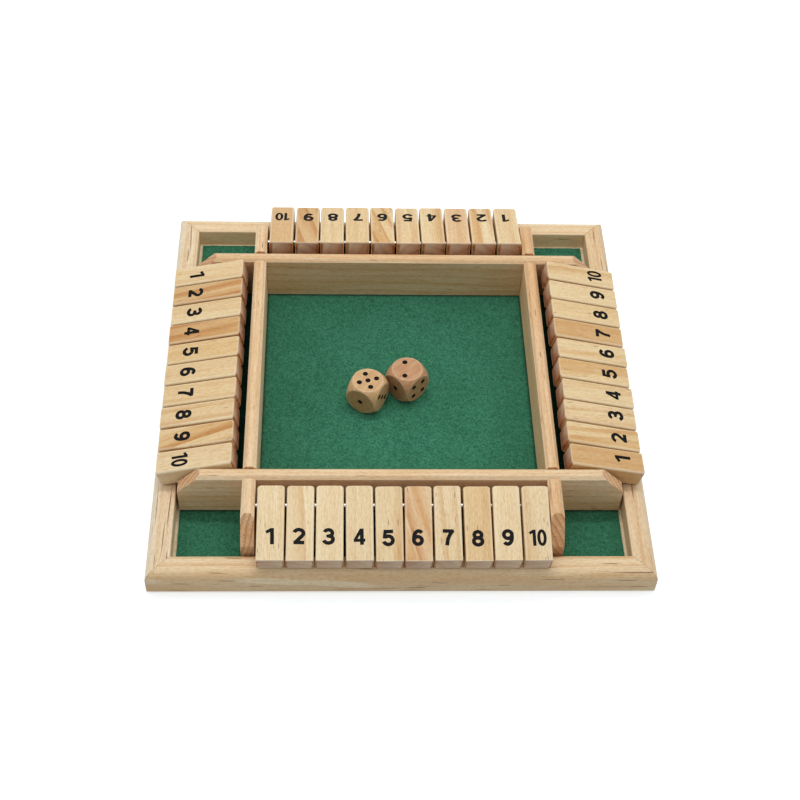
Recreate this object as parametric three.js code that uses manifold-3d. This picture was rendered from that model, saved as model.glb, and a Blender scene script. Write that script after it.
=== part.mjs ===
// A shut the box game for four players, in millimetres, +Z up, origin under its middle.
// A mitred frame holds a felt-covered tray. Four boards, half-lapped at their crossings,
// stand on the felt and make the throwing space. Outside each board ten number tiles turn
// on a steel rod: at rest they lie outwards on the frame, and they are shut by flipping
// them up and over, until they lean on the board.
import * as THREE from "three";
import { mergeVertices } from "three/addons/utils/BufferGeometryUtils.js";
import Module from "manifold-3d";

// Number tiles, ten to a row; their row sets how wide the tray is
const tilesInRow = 10;
const tileWidth = 12.3;
const tileGap = 0.9; // between two tiles
const rowEndGap = 0.85; // between the last tile and the board beside it
const tileThickness = 9.8;
const tileEdgeRound = 1.2; // the four long edges
const tileCornerRound = 1.7; // the inner end's two corners, seen from above
const tileHinge = 7.8; // from the tile's inner end to the rod's axis
const tileOnRail = 6.8; // how far a lying tile reaches over the rail
const restGap = 0.3; // between a lying tile and the rail under it

// Frame: four rails, mitred at the corners
const railWidth = 11;
const railHeight = 13.5;
const railRoundOver = 5; // the outer top edge
const railFootRound = 2; // the outer bottom edge
const railArris = 0.8; // the inner top edge, sanded
const frameCornerRound = 1.2; // the frame's four upright corners
const mitreGap = 0.2; // the glue line, measured across the joint

// Base panel, let into a rebate under the rails' inner edge
const panelThickness = 3;
const panelRecess = 0.5; // the rails' feet stand proud of the panel
const rebateDepth = 4; // how far the rebate goes into the rail
const rebateClearance = 0.3;

// Felt lining, glued to the panel
const feltThickness = 1;
const feltMargin = 1.4; // the strip of bare panel along the rails

// Tray: four boards with half-lap joints, and a pocket past each crossing
const pocketWidth = 31.4; // from a board's outer face to the rail
const boardThickness = 6.2;
const boardHeight = 25.2; // above the felt
const boardFlank = 1.5; // cut off each upper edge at 45 degrees, as much across as down
const boardBrow = 1.2; // rounding between the flat top and a flank
const boardArris = 0.4; // rounding between a flank and the board's side
const boardEndGap = 1.2; // from a board's end to the rail
const endClip = 10.8; // cut off each upper corner, as much along the top as down the end
const lapShare = 0.5; // share of the height that each board gives up at a joint
const lapClearance = 0.1; // beside a board in its slot

// Hinge rods, let into blind holes in the boards
const rodDiameter = 2;
const rodClearance = 0.3; // round the rod, in the tiles and in the boards
const rodToBoard = 11.9; // from the rod's axis to the board behind the tiles
const rodBelowTop = 4.7; // from the boards' top down to the rod's axis
const rodSeat = 4; // depth of the blind holes
const rodEndPlay = 0.3;

// Dice: cubes with ball-rounded corners and drilled pips
const dieSize = 16;
const dieBall = 21.9; // diameter of the ball that rounds the corners
const pipDiameter = 2.5;
const pipDepth = 0.7;
const pipSpacing = 3.1; // from one column or row of pips to the next
const diceGap = 1.3; // from the left die's corner to the face of the right die beside it
const dicePlaceShares = [-0.038, -0.021]; // middle of the pair, as shares of the tray's width
const diceBearing = 21; // direction from the left die to the right one, in degrees
const dieTurns = { left: -28.6, right: -46.5 }; // degrees about the vertical

// Facets and cuts
const arcSteps = 4; // facets on a rounded edge
const tileArcSteps = 3;
const rodSides = 12;
const pipSides = 10;
const ballSides = 28;
const ballRings = 18;
const overrun = 1; // how far a cutting solid reaches past what it cuts

// Worked out from the sizes above
const quarter = Math.PI / 2;
const tilePitch = tileWidth + tileGap;
const trayWidth = tilesInRow * tilePitch - tileGap + 2 * rowEndGap;
const trayHalf = trayWidth / 2;
const frameInner = trayHalf + boardThickness + pocketWidth;
const frameOuter = frameInner + railWidth;
const rebateHeight = panelRecess + panelThickness;
const feltTop = rebateHeight + feltThickness;
const boardTop = feltTop + boardHeight;
const boardHalf = frameInner - boardEndGap;
const crossing = trayHalf + boardThickness / 2; // from the middle to a board's centre plane
const lapHeight = feltTop + boardHeight * lapShare;
const rodRadius = rodDiameter / 2;
const rodOut = trayHalf + boardThickness + rodToBoard;
const rodHeight = boardTop - rodBelowTop;

// A lying tile's lower outer corner stops just over the rail. How far out and down that
// corner is from the rod gives the tile's length and its tilt.
const cornerOut = frameInner + tileOnRail - rodOut;
const cornerDown = rodHeight - railHeight - restGap;
const tileArm = Math.sqrt(cornerOut ** 2 + cornerDown ** 2 - (tileThickness / 2) ** 2);
const tileLength = tileHinge + tileArm;
const tileTilt = Math.atan2(cornerDown, cornerOut) - Math.atan2(tileThickness / 2, tileArm);

const pine = new THREE.MeshStandardMaterial({ color: 0xe6c998, roughness: 0.55, metalness: 0 });
const palePine = new THREE.MeshStandardMaterial({ color: 0xe9cc93, roughness: 0.5, metalness: 0 });
const plywood = new THREE.MeshStandardMaterial({ color: 0xcdb88c, roughness: 0.7, metalness: 0 });
const beech = new THREE.MeshStandardMaterial({ color: 0xd9a878, roughness: 0.45, metalness: 0 });
const felt = new THREE.MeshStandardMaterial({ color: 0x2c6b4b, roughness: 1, metalness: 0 });
const steel = new THREE.MeshStandardMaterial({ color: 0xc9cbcc, roughness: 0.3, metalness: 1 });

const wasm = await Module();
wasm.setup();

// Solids and meshes
function solidOf(geometry) {
  geometry.deleteAttribute("normal");
  geometry.deleteAttribute("uv");
  const merged = mergeVertices(geometry);
  return new wasm.Manifold(
    new wasm.Mesh({
      numProp: 3,
      vertProperties: merged.attributes.position.array,
      triVerts: new Uint32Array(merged.index.array),
    }),
  );
}

function geometryOf(solid) {
  const { vertProperties, triVerts } = solid.getMesh();
  return new THREE.BufferGeometry()
    .setAttribute("position", new THREE.BufferAttribute(vertProperties, 3))
    .setIndex(new THREE.BufferAttribute(triVerts, 1));
}

function meshOf(name, geometry, material) {
  const flat = geometry.index ? geometry.toNonIndexed() : geometry;
  flat.computeVertexNormals();
  const mesh = new THREE.Mesh(flat, material.clone());
  mesh.name = name;
  return mesh;
}

// A closed outline whose corners, each [x, y, radius], are rounded by arcs
function roundedShape(corners, steps) {
  const points = corners.flatMap(([x, y, radius = 0], i) => {
    const corner = new THREE.Vector2(x, y);
    if (radius === 0) return [corner];
    const [beforeX, beforeY] = corners.at(i - 1);
    const [afterX, afterY] = corners[(i + 1) % corners.length];
    const back = new THREE.Vector2(beforeX, beforeY).sub(corner).normalize();
    const onward = new THREE.Vector2(afterX, afterY).sub(corner).normalize();
    const half = Math.acos(back.dot(onward)) / 2;
    const inwards = back.clone().add(onward).normalize();
    const centre = corner.clone().addScaledVector(inwards, radius / Math.sin(half));
    const start = corner.clone().addScaledVector(back, radius / Math.tan(half)).sub(centre);
    const sweep = Math.sign(onward.cross(back)) * (Math.PI - 2 * half);
    return Array.from({ length: steps + 1 }, (_, step) =>
      start.clone().rotateAround(new THREE.Vector2(), (sweep * step) / steps).add(centre),
    );
  });
  return new THREE.Shape(points);
}

// An outline pushed to a length, centred, with its x and y turned to two of the part's axes
function prism(shape, length, xAxis, yAxis) {
  const basis = new THREE.Matrix4().makeBasis(xAxis, yAxis, xAxis.clone().cross(yAxis));
  return new THREE.ExtrudeGeometry(shape, { depth: length, bevelEnabled: false })
    .translate(0, 0, -length / 2)
    .applyMatrix4(basis);
}

function rodAlongX(radius, length) {
  return new THREE.CylinderGeometry(radius, radius, length, rodSides).rotateZ(quarter);
}

const alongX = new THREE.Vector3(1, 0, 0);
const alongY = new THREE.Vector3(0, 1, 0);
const upZ = new THREE.Vector3(0, 0, 1);
const outwards = new THREE.Vector3(0, -1, 0); // away from the tray, on the front side

// A rail of the front side. Its outline runs outwards from the tray and up; each end
// vertex is slid along by its own distance out, which makes the mitre. The plan of the
// whole frame then rounds its upright corners.
function railGeometry() {
  const outline = roundedShape(
    [
      [frameInner + rebateDepth, 0],
      [frameOuter, 0, railFootRound],
      [frameOuter, railHeight, railRoundOver],
      [frameInner, railHeight, railArris],
      [frameInner, rebateHeight],
      [frameInner + rebateDepth, rebateHeight],
    ],
    arcSteps,
  );
  const rail = prism(outline, 2 * frameOuter, outwards, upZ);
  const places = rail.attributes.position;
  const shortening = mitreGap / Math.SQRT2;
  for (let i = 0; i < places.count; i += 1) {
    const end = Math.sign(places.getX(i));
    places.setX(i, end * (-places.getY(i) - shortening));
  }
  const plan = roundedShape(
    [
      [-frameOuter, -frameOuter, frameCornerRound],
      [frameOuter, -frameOuter, frameCornerRound],
      [frameOuter, frameOuter, frameCornerRound],
      [-frameOuter, frameOuter, frameCornerRound],
    ],
    arcSteps,
  );
  const block = prism(plan, 2 * (railHeight + overrun), alongX, alongY);
  return geometryOf(solidOf(rail).intersect(solidOf(block)));
}

// A board of the front side, centred on its own plane: the section with its eased top
// meets the long outline with its clipped corners and two slots, open below or above.
function boardGeometry(slotsBelow) {
  const side = boardThickness / 2;
  const section = roundedShape(
    [
      [-side, feltTop],
      [side, feltTop],
      [side, boardTop - boardFlank, boardArris],
      [side - boardFlank, boardTop, boardBrow],
      [boardFlank - side, boardTop, boardBrow],
      [-side, boardTop - boardFlank, boardArris],
    ],
    arcSteps,
  );
  const slotNear = crossing - side - lapClearance;
  const slotFar = crossing + side + lapClearance;
  const slot = (edge) => [
    [slotNear, edge],
    [slotNear, lapHeight],
    [slotFar, lapHeight],
    [slotFar, edge],
  ];
  const mirrored = (points) => points.map(([x, z]) => [-x, z]).reverse();
  const below = slotsBelow ? slot(feltTop) : [];
  const above = slotsBelow ? [] : slot(boardTop).reverse();
  const ends = [
    [boardHalf, feltTop],
    [boardHalf, boardTop - endClip],
    [boardHalf - endClip, boardTop],
  ];
  const outline = roundedShape(
    [...mirrored(below), ...below, ...ends, ...above, ...mirrored(above), ...mirrored(ends)],
    arcSteps,
  );
  let board = solidOf(prism(section, 2 * boardHalf + overrun, alongY, upZ)).intersect(
    solidOf(prism(outline, boardThickness + overrun, alongX, upZ)),
  );
  // Blind holes for the ends of the neighbouring rows' rods, drilled from the inner face
  const drill = rodSeat + overrun;
  for (const end of [-1, 1]) {
    const hole = rodAlongX(rodRadius + rodClearance, drill)
      .rotateZ(quarter)
      .translate(end * rodOut, side - rodSeat + drill / 2, rodHeight);
    board = board.subtract(solidOf(hole));
  }
  return geometryOf(board);
}

// A tile about its rod: its outer end reaches out along -Y, its face is on +Z
function tileGeometry() {
  const side = tileWidth / 2;
  const face = tileThickness / 2;
  const section = roundedShape(
    [
      [-side, -face, tileEdgeRound],
      [side, -face, tileEdgeRound],
      [side, face, tileEdgeRound],
      [-side, face, tileEdgeRound],
    ],
    tileArcSteps,
  );
  const plan = roundedShape(
    [
      [-side, tileHinge - tileLength],
      [side, tileHinge - tileLength],
      [side, tileHinge, tileCornerRound],
      [-side, tileHinge, tileCornerRound],
    ],
    tileArcSteps,
  );
  const strip = prism(section, tileLength + overrun, alongX, upZ);
  strip.translate(0, tileHinge - tileLength / 2, 0);
  const block = solidOf(strip).intersect(
    solidOf(prism(plan, tileThickness + overrun, alongX, alongY)),
  );
  const bore = rodAlongX(rodRadius + rodClearance, tileWidth + overrun);
  return geometryOf(block.subtract(solidOf(bore)));
}

// Where the pips of each number go on a face, in columns and rows from its middle
const pipPlaces = {
  1: [[0, 0]],
  2: [[-1, 1], [1, -1]],
  3: [[-1, 1], [0, 0], [1, -1]],
  4: [[-1, -1], [-1, 1], [1, -1], [1, 1]],
  5: [[-1, -1], [-1, 1], [0, 0], [1, -1], [1, 1]],
  6: [[-1, -1], [-1, 0], [-1, 1], [1, -1], [1, 0], [1, 1]],
};

// A die centred on the origin. Each face has its number, its normal, and the directions
// of its columns and rows of pips.
function dieGeometry({ right, left, front, back, top, bottom }) {
  const faces = [
    [right, alongX, alongY, upZ],
    [left, alongX.clone().negate(), alongY, upZ],
    [front, outwards, alongX, upZ],
    [back, alongY, alongX, upZ],
    [top, upZ, alongX, alongY],
    [bottom, upZ.clone().negate(), alongX, alongY],
  ];
  const ball = new THREE.SphereGeometry(dieBall / 2, ballSides, ballRings).rotateX(quarter);
  let die = solidOf(new THREE.BoxGeometry(dieSize, dieSize, dieSize)).intersect(solidOf(ball));
  // A pip is the cone left by the drill's point, cut a little taller to break the surface.
  const height = pipDepth + overrun;
  const coneRadius = ((pipDiameter / 2) * height) / pipDepth;
  for (const [number, normal, columns, rows] of faces) {
    const turn = new THREE.Quaternion().setFromUnitVectors(outwards, normal);
    for (const [column, row] of pipPlaces[number]) {
      const place = normal
        .clone()
        .multiplyScalar(dieSize / 2 - pipDepth + height / 2)
        .addScaledVector(columns, column * pipSpacing)
        .addScaledVector(rows, row * pipSpacing);
      const cone = new THREE.ConeGeometry(coneRadius, height, pipSides)
        .applyQuaternion(turn)
        .translate(place.x, place.y, place.z);
      die = die.subtract(solidOf(cone));
    }
  }
  return geometryOf(die);
}

const game = new THREE.Group();

const panelWidth = 2 * (frameInner + rebateDepth - rebateClearance);
const panel = meshOf(
  "base_panel",
  new THREE.BoxGeometry(panelWidth, panelWidth, panelThickness),
  plywood,
);
panel.position.z = panelRecess + panelThickness / 2;

const feltWidth = 2 * (frameInner - feltMargin);
const lining = meshOf(
  "felt_lining",
  new THREE.BoxGeometry(feltWidth, feltWidth, feltThickness),
  felt,
);
lining.position.z = rebateHeight + feltThickness / 2;
game.add(panel, lining);

// Each side of the game is one group, modelled as the front and turned about the middle.
// The front and back boards drop over the other two, so their slots are open below.
["front", "right", "back", "left"].forEach((name, turns) => {
  const side = new THREE.Group();
  side.rotation.z = turns * quarter;

  const board = meshOf(`${name}_board`, boardGeometry(turns % 2 === 0), pine);
  board.position.y = -crossing;

  const rodLength = trayWidth + 2 * (rodSeat - rodEndPlay);
  const rod = meshOf(`${name}_hinge_rod`, rodAlongX(rodRadius, rodLength), steel);
  rod.position.set(0, -rodOut, rodHeight);

  side.add(meshOf(`${name}_rail`, railGeometry(), pine), board, rod);

  // Tile 1 is at the left of the player who sits on this side
  for (let number = 1; number <= tilesInRow; number += 1) {
    const tile = meshOf(`${name}_tile_${number}`, tileGeometry(), palePine);
    const place = number - (tilesInRow + 1) / 2;
    tile.position.set(place * tilePitch, -rodOut, rodHeight);
    tile.rotation.x = tileTilt;
    side.add(tile);
  }
  game.add(side);
});

// The dice lie side by side on the felt, the left one with a corner towards a face of the
// right one. Along that face's normal lie half of the right die, the gap, and the reach of
// the left die, whose corner is where one of its flat discs meets the ball. Opposite faces
// of a die add up to seven.
const bearing = THREE.MathUtils.degToRad(diceBearing);
const faceNormal = THREE.MathUtils.degToRad(dieTurns.right) + quarter;
const turnBetween = THREE.MathUtils.degToRad(dieTurns.right - dieTurns.left);
const discRadius = Math.sqrt(dieBall ** 2 - dieSize ** 2) / 2;
const cornerReach = (dieSize / 2) * Math.cos(turnBetween) + discRadius * Math.abs(Math.sin(turnBetween));
const diceApart = (dieSize / 2 + diceGap + cornerReach) / Math.cos(faceNormal - bearing);
const dice = [
  { name: "left", end: -1, faces: { right: 3, left: 4, front: 1, back: 6, top: 5, bottom: 2 } },
  { name: "right", end: 1, faces: { right: 4, left: 3, front: 1, back: 6, top: 2, bottom: 5 } },
];
for (const { name, end, faces } of dice) {
  const die = meshOf(`${name}_die`, dieGeometry(faces), beech);
  die.position.set(
    dicePlaceShares[0] * trayWidth + (end * diceApart * Math.cos(bearing)) / 2,
    dicePlaceShares[1] * trayWidth + (end * diceApart * Math.sin(bearing)) / 2,
    feltTop + dieSize / 2,
  );
  die.rotation.z = THREE.MathUtils.degToRad(dieTurns[name]);
  game.add(die);
}

export default game;
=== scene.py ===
# %% [markdown]
# # A shut the box game for four players
#
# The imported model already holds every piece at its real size: four mitred rails, a base
# panel, felt, four half-lapped boards, four steel rods, forty number tiles and two dice.
# This notebook gives them their looks. Wood looks real when three things are right: the
# edges are rounded as a sander leaves them, the grain runs through each piece as it ran
# through the log, and no two pieces come from the same place in it.

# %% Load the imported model
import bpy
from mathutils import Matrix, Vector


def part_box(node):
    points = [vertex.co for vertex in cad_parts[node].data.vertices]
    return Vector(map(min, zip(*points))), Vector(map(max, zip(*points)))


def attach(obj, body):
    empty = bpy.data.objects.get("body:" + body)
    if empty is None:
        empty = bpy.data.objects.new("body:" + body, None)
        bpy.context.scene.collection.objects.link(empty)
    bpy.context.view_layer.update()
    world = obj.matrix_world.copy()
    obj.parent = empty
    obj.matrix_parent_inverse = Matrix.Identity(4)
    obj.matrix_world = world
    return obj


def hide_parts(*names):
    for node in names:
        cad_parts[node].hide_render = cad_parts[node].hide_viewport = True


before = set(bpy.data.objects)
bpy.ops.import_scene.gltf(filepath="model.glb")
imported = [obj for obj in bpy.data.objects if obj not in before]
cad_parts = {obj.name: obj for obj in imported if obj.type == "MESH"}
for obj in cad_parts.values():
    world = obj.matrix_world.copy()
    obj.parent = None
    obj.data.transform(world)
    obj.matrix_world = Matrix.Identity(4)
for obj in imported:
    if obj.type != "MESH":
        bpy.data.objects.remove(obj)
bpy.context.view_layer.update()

# %% Libraries and the unit
import math
import random

import bmesh
import bpy
from mathutils import Matrix, Vector

MM = 0.001  # Blender works in metres, and a joiner in millimetres
QUARTER_TURN = math.pi / 2
SQUARE = [(-1, -1), (1, -1), (1, 1), (-1, 1)]  # its corners, from its middle
SIDES = ["front", "right", "back", "left"]  # each is the one before, a quarter turn on
TURNS = {side: Matrix.Rotation(k * QUARTER_TURN, 4, "Z") for k, side in enumerate(SIDES)}
scene = bpy.context.scene


# %% [markdown]
# ## The camera
#
# The lens and the camera's place were found by fitting the known corners of the frame, the
# boards and the tiles to the picture. The camera stands a little left of the middle, looks
# down by about fifty degrees and a little to the right, and is rolled by about three. It is
# written as a place and two directions, because these can be checked one by one.

# %% Camera
CAMERA_PLACE = Vector((-28.87, -471.02, 565.81)) * MM
LOOKS_ALONG = Vector((0.04153, 0.63772, -0.76915)).normalized()
TO_THE_RIGHT = Vector((0.99913, -0.02380, 0.03421)).normalized()
LENS = 66.1  # on a sensor 36 wide, both in millimetres

lens = bpy.data.cameras.new("camera")
lens.lens = LENS
lens.sensor_width = 36.0
lens.clip_start, lens.clip_end = 0.01, 20.0
camera = bpy.data.objects.new("camera", lens)
camera_up = TO_THE_RIGHT.cross(LOOKS_ALONG)
turn = Matrix((TO_THE_RIGHT, camera_up, -LOOKS_ALONG)).transposed()
camera.matrix_world = Matrix.Translation(CAMERA_PLACE) @ turn.to_4x4()
scene.collection.objects.link(camera)
scene.camera = camera
print("camera height in mm:", round(CAMERA_PLACE.z / MM))

# %% [markdown]
# ## Colour and nodes
#
# Colours are given as sRGB hex values, but Blender adds up light in linear values, so one function
# turns each hex value into linear. A second small function adds any node,
# sets it up and links it. Every material and every geometry tree below is built with it,
# and each tree reads from top to bottom like a recipe.


# %% Helpers for colours and nodes
def linear(code):
    """A linear colour with alpha from an sRGB hex value such as #E6C99A."""
    parts = [int(code[i : i + 2], 16) / 255 for i in (1, 3, 5)]
    return (*[p / 12.92 if p <= 0.04045 else ((p + 0.055) / 1.055) ** 2.4 for p in parts], 1.0)


def add(tree, kind, sockets=None, **settings):
    """A new node with its settings. A socket, given by its name or number, takes a value, or
    is linked to another node's first output, to one of its outputs, or to a list of them."""
    node = tree.nodes.new(kind)
    for name, value in settings.items():
        setattr(node, name, value)
    for name, value in (sockets or {}).items():
        socket = next(s for i, s in enumerate(node.inputs) if s.enabled and name in (i, s.name))
        for source in value if isinstance(value, list) else [value]:
            if isinstance(source, bpy.types.Node):
                source = next(s for s in source.outputs if s.enabled)
            if isinstance(source, bpy.types.NodeSocket):
                tree.links.new(source, socket)
            else:
                socket.default_value = source
    return node


def new_material(name):
    """An empty material: itself and its tree."""
    material = bpy.data.materials.new(name)
    material.use_nodes = True
    material.node_tree.nodes.clear()
    return material, material.node_tree


# Settings that many nodes share
SMOOTH = {"interpolation_type": "SMOOTHSTEP"}  # Map Range: eased at both ends
SIZED = {"vector_type": "TEXTURE"}  # Mapping: its scale is the pattern's own size
BLEND = {"data_type": "RGBA"}  # Mix: from one colour to another
TINT = {"data_type": "RGBA", "blend_type": "MULTIPLY"}  # Mix: a colour seen through a glaze
TIMES = {"operation": "MULTIPLY"}  # Math and Vector Math
print("linear value of mid grey:", round(linear("#808080")[0], 3))

# %% [markdown]
# ## Light and floor
#
# The picture has the light of a small studio tent: a long soft box hangs close above the
# back of the game, and the rest comes from the ceiling and from the walls to the left and
# right. That is why the felt falls to half its brightness close behind a board, why faces
# turned sideways are brighter than faces turned to the camera, and why no shadow falls to
# the left or right. So the world's strength follows each direction: how high it points,
# how far back and how far sideways, and light from low down is cooler. One area lamp is
# the soft box. Together they light a level face by about one, so that a colour renders as
# it is written. The floor reads as white by a little glow that only camera, mirror and
# glass rays see, and it keeps the soft shadow under the frame.


# %% Light from the ceiling
def seen_directly(tree):
    """One for camera, mirror and glass rays, nought for the rays that light the object."""
    rays = add(tree, "ShaderNodeLightPath").outputs
    either = {0: rays["Is Camera Ray"], 1: rays["Is Glossy Ray"]}
    either = add(tree, "ShaderNodeMath", either, operation="MAXIMUM")
    either = {0: either, 1: rays["Is Transmission Ray"]}
    return add(tree, "ShaderNodeMath", either, operation="MAXIMUM")


CEILING, SIDE_WALLS = 0.91, 1.15  # radiance straight overhead, and to the left and right
CEILING_FALL = 1.4  # how fast the ceiling's light falls towards the horizon
BACKWARD = 0.35  # how much brighter the ceiling is towards the back, and darker in front
WALL_TINT, CEILING_TINT = "#D5EBFF", "#FFFDF9"

world = bpy.data.worlds.new("studio")
world.use_nodes = True
tree = world.node_tree
tree.nodes.clear()
direction = add(tree, "ShaderNodeTexCoord").outputs["Generated"]
direction = add(tree, "ShaderNodeSeparateXYZ", {"Vector": direction})
height = add(tree, "ShaderNodeMapRange", {"Value": direction.outputs["Z"]})
sideways = {0: direction.outputs["X"], 1: direction.outputs["X"]}
sideways = add(tree, "ShaderNodeMath", sideways, **TIMES)
walls = add(tree, "ShaderNodeMath", {0: sideways, 1: SIDE_WALLS}, **TIMES)
above = add(tree, "ShaderNodeMath", {0: height, 1: CEILING_FALL}, operation="POWER")
behind = {0: direction.outputs["Y"], 1: BACKWARD, 2: 1.0}
behind = add(tree, "ShaderNodeMath", behind, operation="MULTIPLY_ADD")
above = add(tree, "ShaderNodeMath", {0: above, 1: behind}, **TIMES)
tent = {0: above, 1: CEILING, 2: walls}
tent = add(tree, "ShaderNodeMath", tent, operation="MULTIPLY_ADD")
tint = {"Factor": height, "A": linear(WALL_TINT), "B": linear(CEILING_TINT)}
tint = add(tree, "ShaderNodeMix", tint, **BLEND)
direct = seen_directly(tree)
strength = add(tree, "ShaderNodeMix", {"Factor": direct, "A": tent, "B": 1.0})
tint = add(tree, "ShaderNodeMix", {"Factor": direct, "A": tint, "B": linear("#FFFFFF")}, **BLEND)
glow = add(tree, "ShaderNodeBackground", {"Color": tint, "Strength": strength})
add(tree, "ShaderNodeOutputWorld", {"Surface": glow})
scene.world = world
scene.view_settings.view_transform = "Standard"
print("tent's light on a level face:", round(CEILING * 2 / (2 + CEILING_FALL) + SIDE_WALLS / 4, 2))

# %% The soft box
BOX_PLACE = Vector((0, 75, 520)) * MM
BOX_LENGTH, BOX_WIDTH = 320 * MM, 50 * MM
BOX_SHARE = 0.32  # of the light on a level face in the tray

lamp = bpy.data.lights.new("soft_box", "AREA")
lamp.shape = "RECTANGLE"
lamp.size, lamp.size_y = BOX_LENGTH, BOX_WIDTH
lamp.energy = BOX_SHARE * (math.pi * BOX_PLACE.z) ** 2  # an area lamp shines straight down
soft_box = bpy.data.objects.new("soft_box", lamp)
soft_box.location = BOX_PLACE
soft_box.visible_camera = False
scene.collection.objects.link(soft_box)
print("soft box in watts:", round(lamp.energy, 2))

# %% Floor
FLOOR_HALF = 6.0  # metres
FLOOR_GLOW = 0.54

floor_mesh = bpy.data.meshes.new("floor")
floor_mesh.from_pydata([(x * FLOOR_HALF, y * FLOOR_HALF, 0) for x, y in SQUARE], [], [(0, 1, 2, 3)])
floor = bpy.data.objects.new("floor", floor_mesh)
scene.collection.objects.link(floor)

sweep, tree = new_material("matt_white_sweep")
paper = {"Base Color": linear("#DBE8F4"), "Roughness": 0.9, "Specular IOR Level": 0.0}
paper = add(tree, "ShaderNodeBsdfPrincipled", paper)
strength = add(tree, "ShaderNodeMath", {0: seen_directly(tree), 1: FLOOR_GLOW}, **TIMES)
glow = add(tree, "ShaderNodeEmission", {"Color": linear("#FFF8F0"), "Strength": strength})
both = add(tree, "ShaderNodeAddShader", {0: paper, 1: glow})
add(tree, "ShaderNodeOutputMaterial", {"Surface": both})
floor_mesh.materials.append(sweep)
print("floor:", 2 * FLOOR_HALF, "m square")

# %% [markdown]
# ## Sizes
#
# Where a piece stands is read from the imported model, so it can never drift from it. Only
# the sizes that a box can't tell are written again here: roundings, the mitre's glue line,
# the clipped ends and the length of a tile.

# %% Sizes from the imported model
rail_low, rail_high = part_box("front_rail")
board_low, board_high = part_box("front_board")
felt_low, felt_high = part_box("felt_lining")
panel_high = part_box("base_panel")[1]
rod_low, rod_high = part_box("front_hinge_rod")
tile_low, tile_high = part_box("front_tile_1")

frame_outer = -rail_low.y
frame_inner = -rail_high.y
rail_height = rail_high.z
rebate_height = panel_high.z
felt_top = felt_high.z
board_half = board_high.x
board_thickness = board_high.y - board_low.y
crossing = -(board_low.y + board_high.y) / 2
board_top = board_high.z
rod_out = -(rod_low.y + rod_high.y) / 2
rod_height = (rod_low.z + rod_high.z) / 2
rod_radius = (rod_high.z - rod_low.z) / 2
tile_width = tile_high.x - tile_low.x
print("frame", round(2 * frame_outer / MM), "mm, tile", round(tile_width / MM, 2), "mm wide")

# %% Sizes that a box can't tell
RAIL_ROUND, RAIL_FOOT_ROUND, RAIL_ARRIS = 5.0 * MM, 2.0 * MM, 0.8 * MM
FRAME_CORNER = 1.2 * MM
GLUE_LINE = 0.1 * MM  # between the rails of a mitre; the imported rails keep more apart
REBATE_DEPTH = 4.0 * MM
BOARD_FLANK, BOARD_BROW, BOARD_ARRIS = 1.5 * MM, 1.2 * MM, 0.4 * MM
END_CLIP = 10.8 * MM
LAP_SHARE = 0.5
LAP_CLEARANCE = 0.1 * MM
TILE_THICKNESS = 9.8 * MM
TILE_HINGE = 7.8 * MM  # from the tile's inner end to the rod
TILE_ON_RAIL = 6.8 * MM  # how far the tile reaches over the rail
TILE_EDGE = 1.2 * MM
BORE = 2.6 * MM
REST_GAP = 0.3 * MM
ROD_CHAMFER = 0.2 * MM
DIE_SIZE, DIE_BALL = 16.0 * MM, 21.9 * MM
DIE_TURNS = {"left": -28.6, "right": -46.5}  # degrees

corner_out = frame_inner + TILE_ON_RAIL - rod_out
corner_down = rod_height - rail_height - REST_GAP
tile_arm = math.sqrt(corner_out**2 + corner_down**2 - (TILE_THICKNESS / 2) ** 2)
tile_length = TILE_HINGE + tile_arm
tile_tilt = math.atan2(corner_down, corner_out) - math.atan2(TILE_THICKNESS / 2, tile_arm)
print("tile length in mm:", round(tile_length / MM, 2), "tilt:", round(math.degrees(tile_tilt), 2))

# %% [markdown]
# ## Pine
#
# The rails, boards and tiles are pine under a thin matt lacquer. Pine has pale early wood
# and thin, browner late wood, laid down in rings round the log's heart, fine fibres along
# the log, and here and there a short brown streak where resin gathered. A flat picture of
# planks could not wrap round the edges of fifty pieces, so the wood is a solid pattern:
# every piece carries an attribute that says where each of its points lay in the log, in
# millimetres from the heart, and the rings are simply distances from the heart. Faces cut
# across the fibres soak up more lacquer and look darker and greyer; a second attribute
# holds the direction of the fibres, so that the material finds these faces by their
# normals. Three traits go with each piece: how banded, how streaky and how strongly ringed
# it is.

# %% Patterns, layers and surfaces
def patches(tree, place, size, detail, distortion=0.0):
    """Soft noise, stretched until its patches have a real size in millimetres."""
    place = add(tree, "ShaderNodeMapping", {"Vector": place, "Scale": size}, **SIZED)
    noise = {"Vector": place, "Scale": 1.0, "Detail": detail, "Distortion": distortion}
    return add(tree, "ShaderNodeTexNoise", noise)


def layered(tree, pattern, reach, lower, upper, how):
    """One colour over another, where a pattern passes between two values. Reach is the value
    at which the upper one starts, the value at which it is full, and its share there."""
    share = {"Value": pattern, "From Min": reach[0], "From Max": reach[1], "To Max": reach[2]}
    share = add(tree, "ShaderNodeMapRange", share, **SMOOTH)
    return add(tree, "ShaderNodeMix", {"Factor": share, "A": lower, "B": upper}, **how)


def surface(tree, colour, pattern, rough, relief, settings):
    """The end of a material, for which a pattern sets the roughness, from its least to its
    most, and the relief, given as a strength and a height in millimetres."""
    gloss = {"Value": pattern, "From Min": 0.3, "From Max": 0.7}
    gloss |= {"To Min": rough[0], "To Max": rough[1]}
    gloss = add(tree, "ShaderNodeMapRange", gloss)
    bump = {"Strength": relief[0], "Distance": relief[1] * MM, "Height": pattern}
    bump = add(tree, "ShaderNodeBump", bump)
    shader = {"Base Color": colour, "Roughness": gloss, "Normal": bump} | settings
    shader = add(tree, "ShaderNodeBsdfPrincipled", shader)
    add(tree, "ShaderNodeOutputMaterial", {"Surface": shader})


# %% Where a point lay in the log
WAVER = 4.5  # how far the rings stray from true circles, in millimetres


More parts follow.
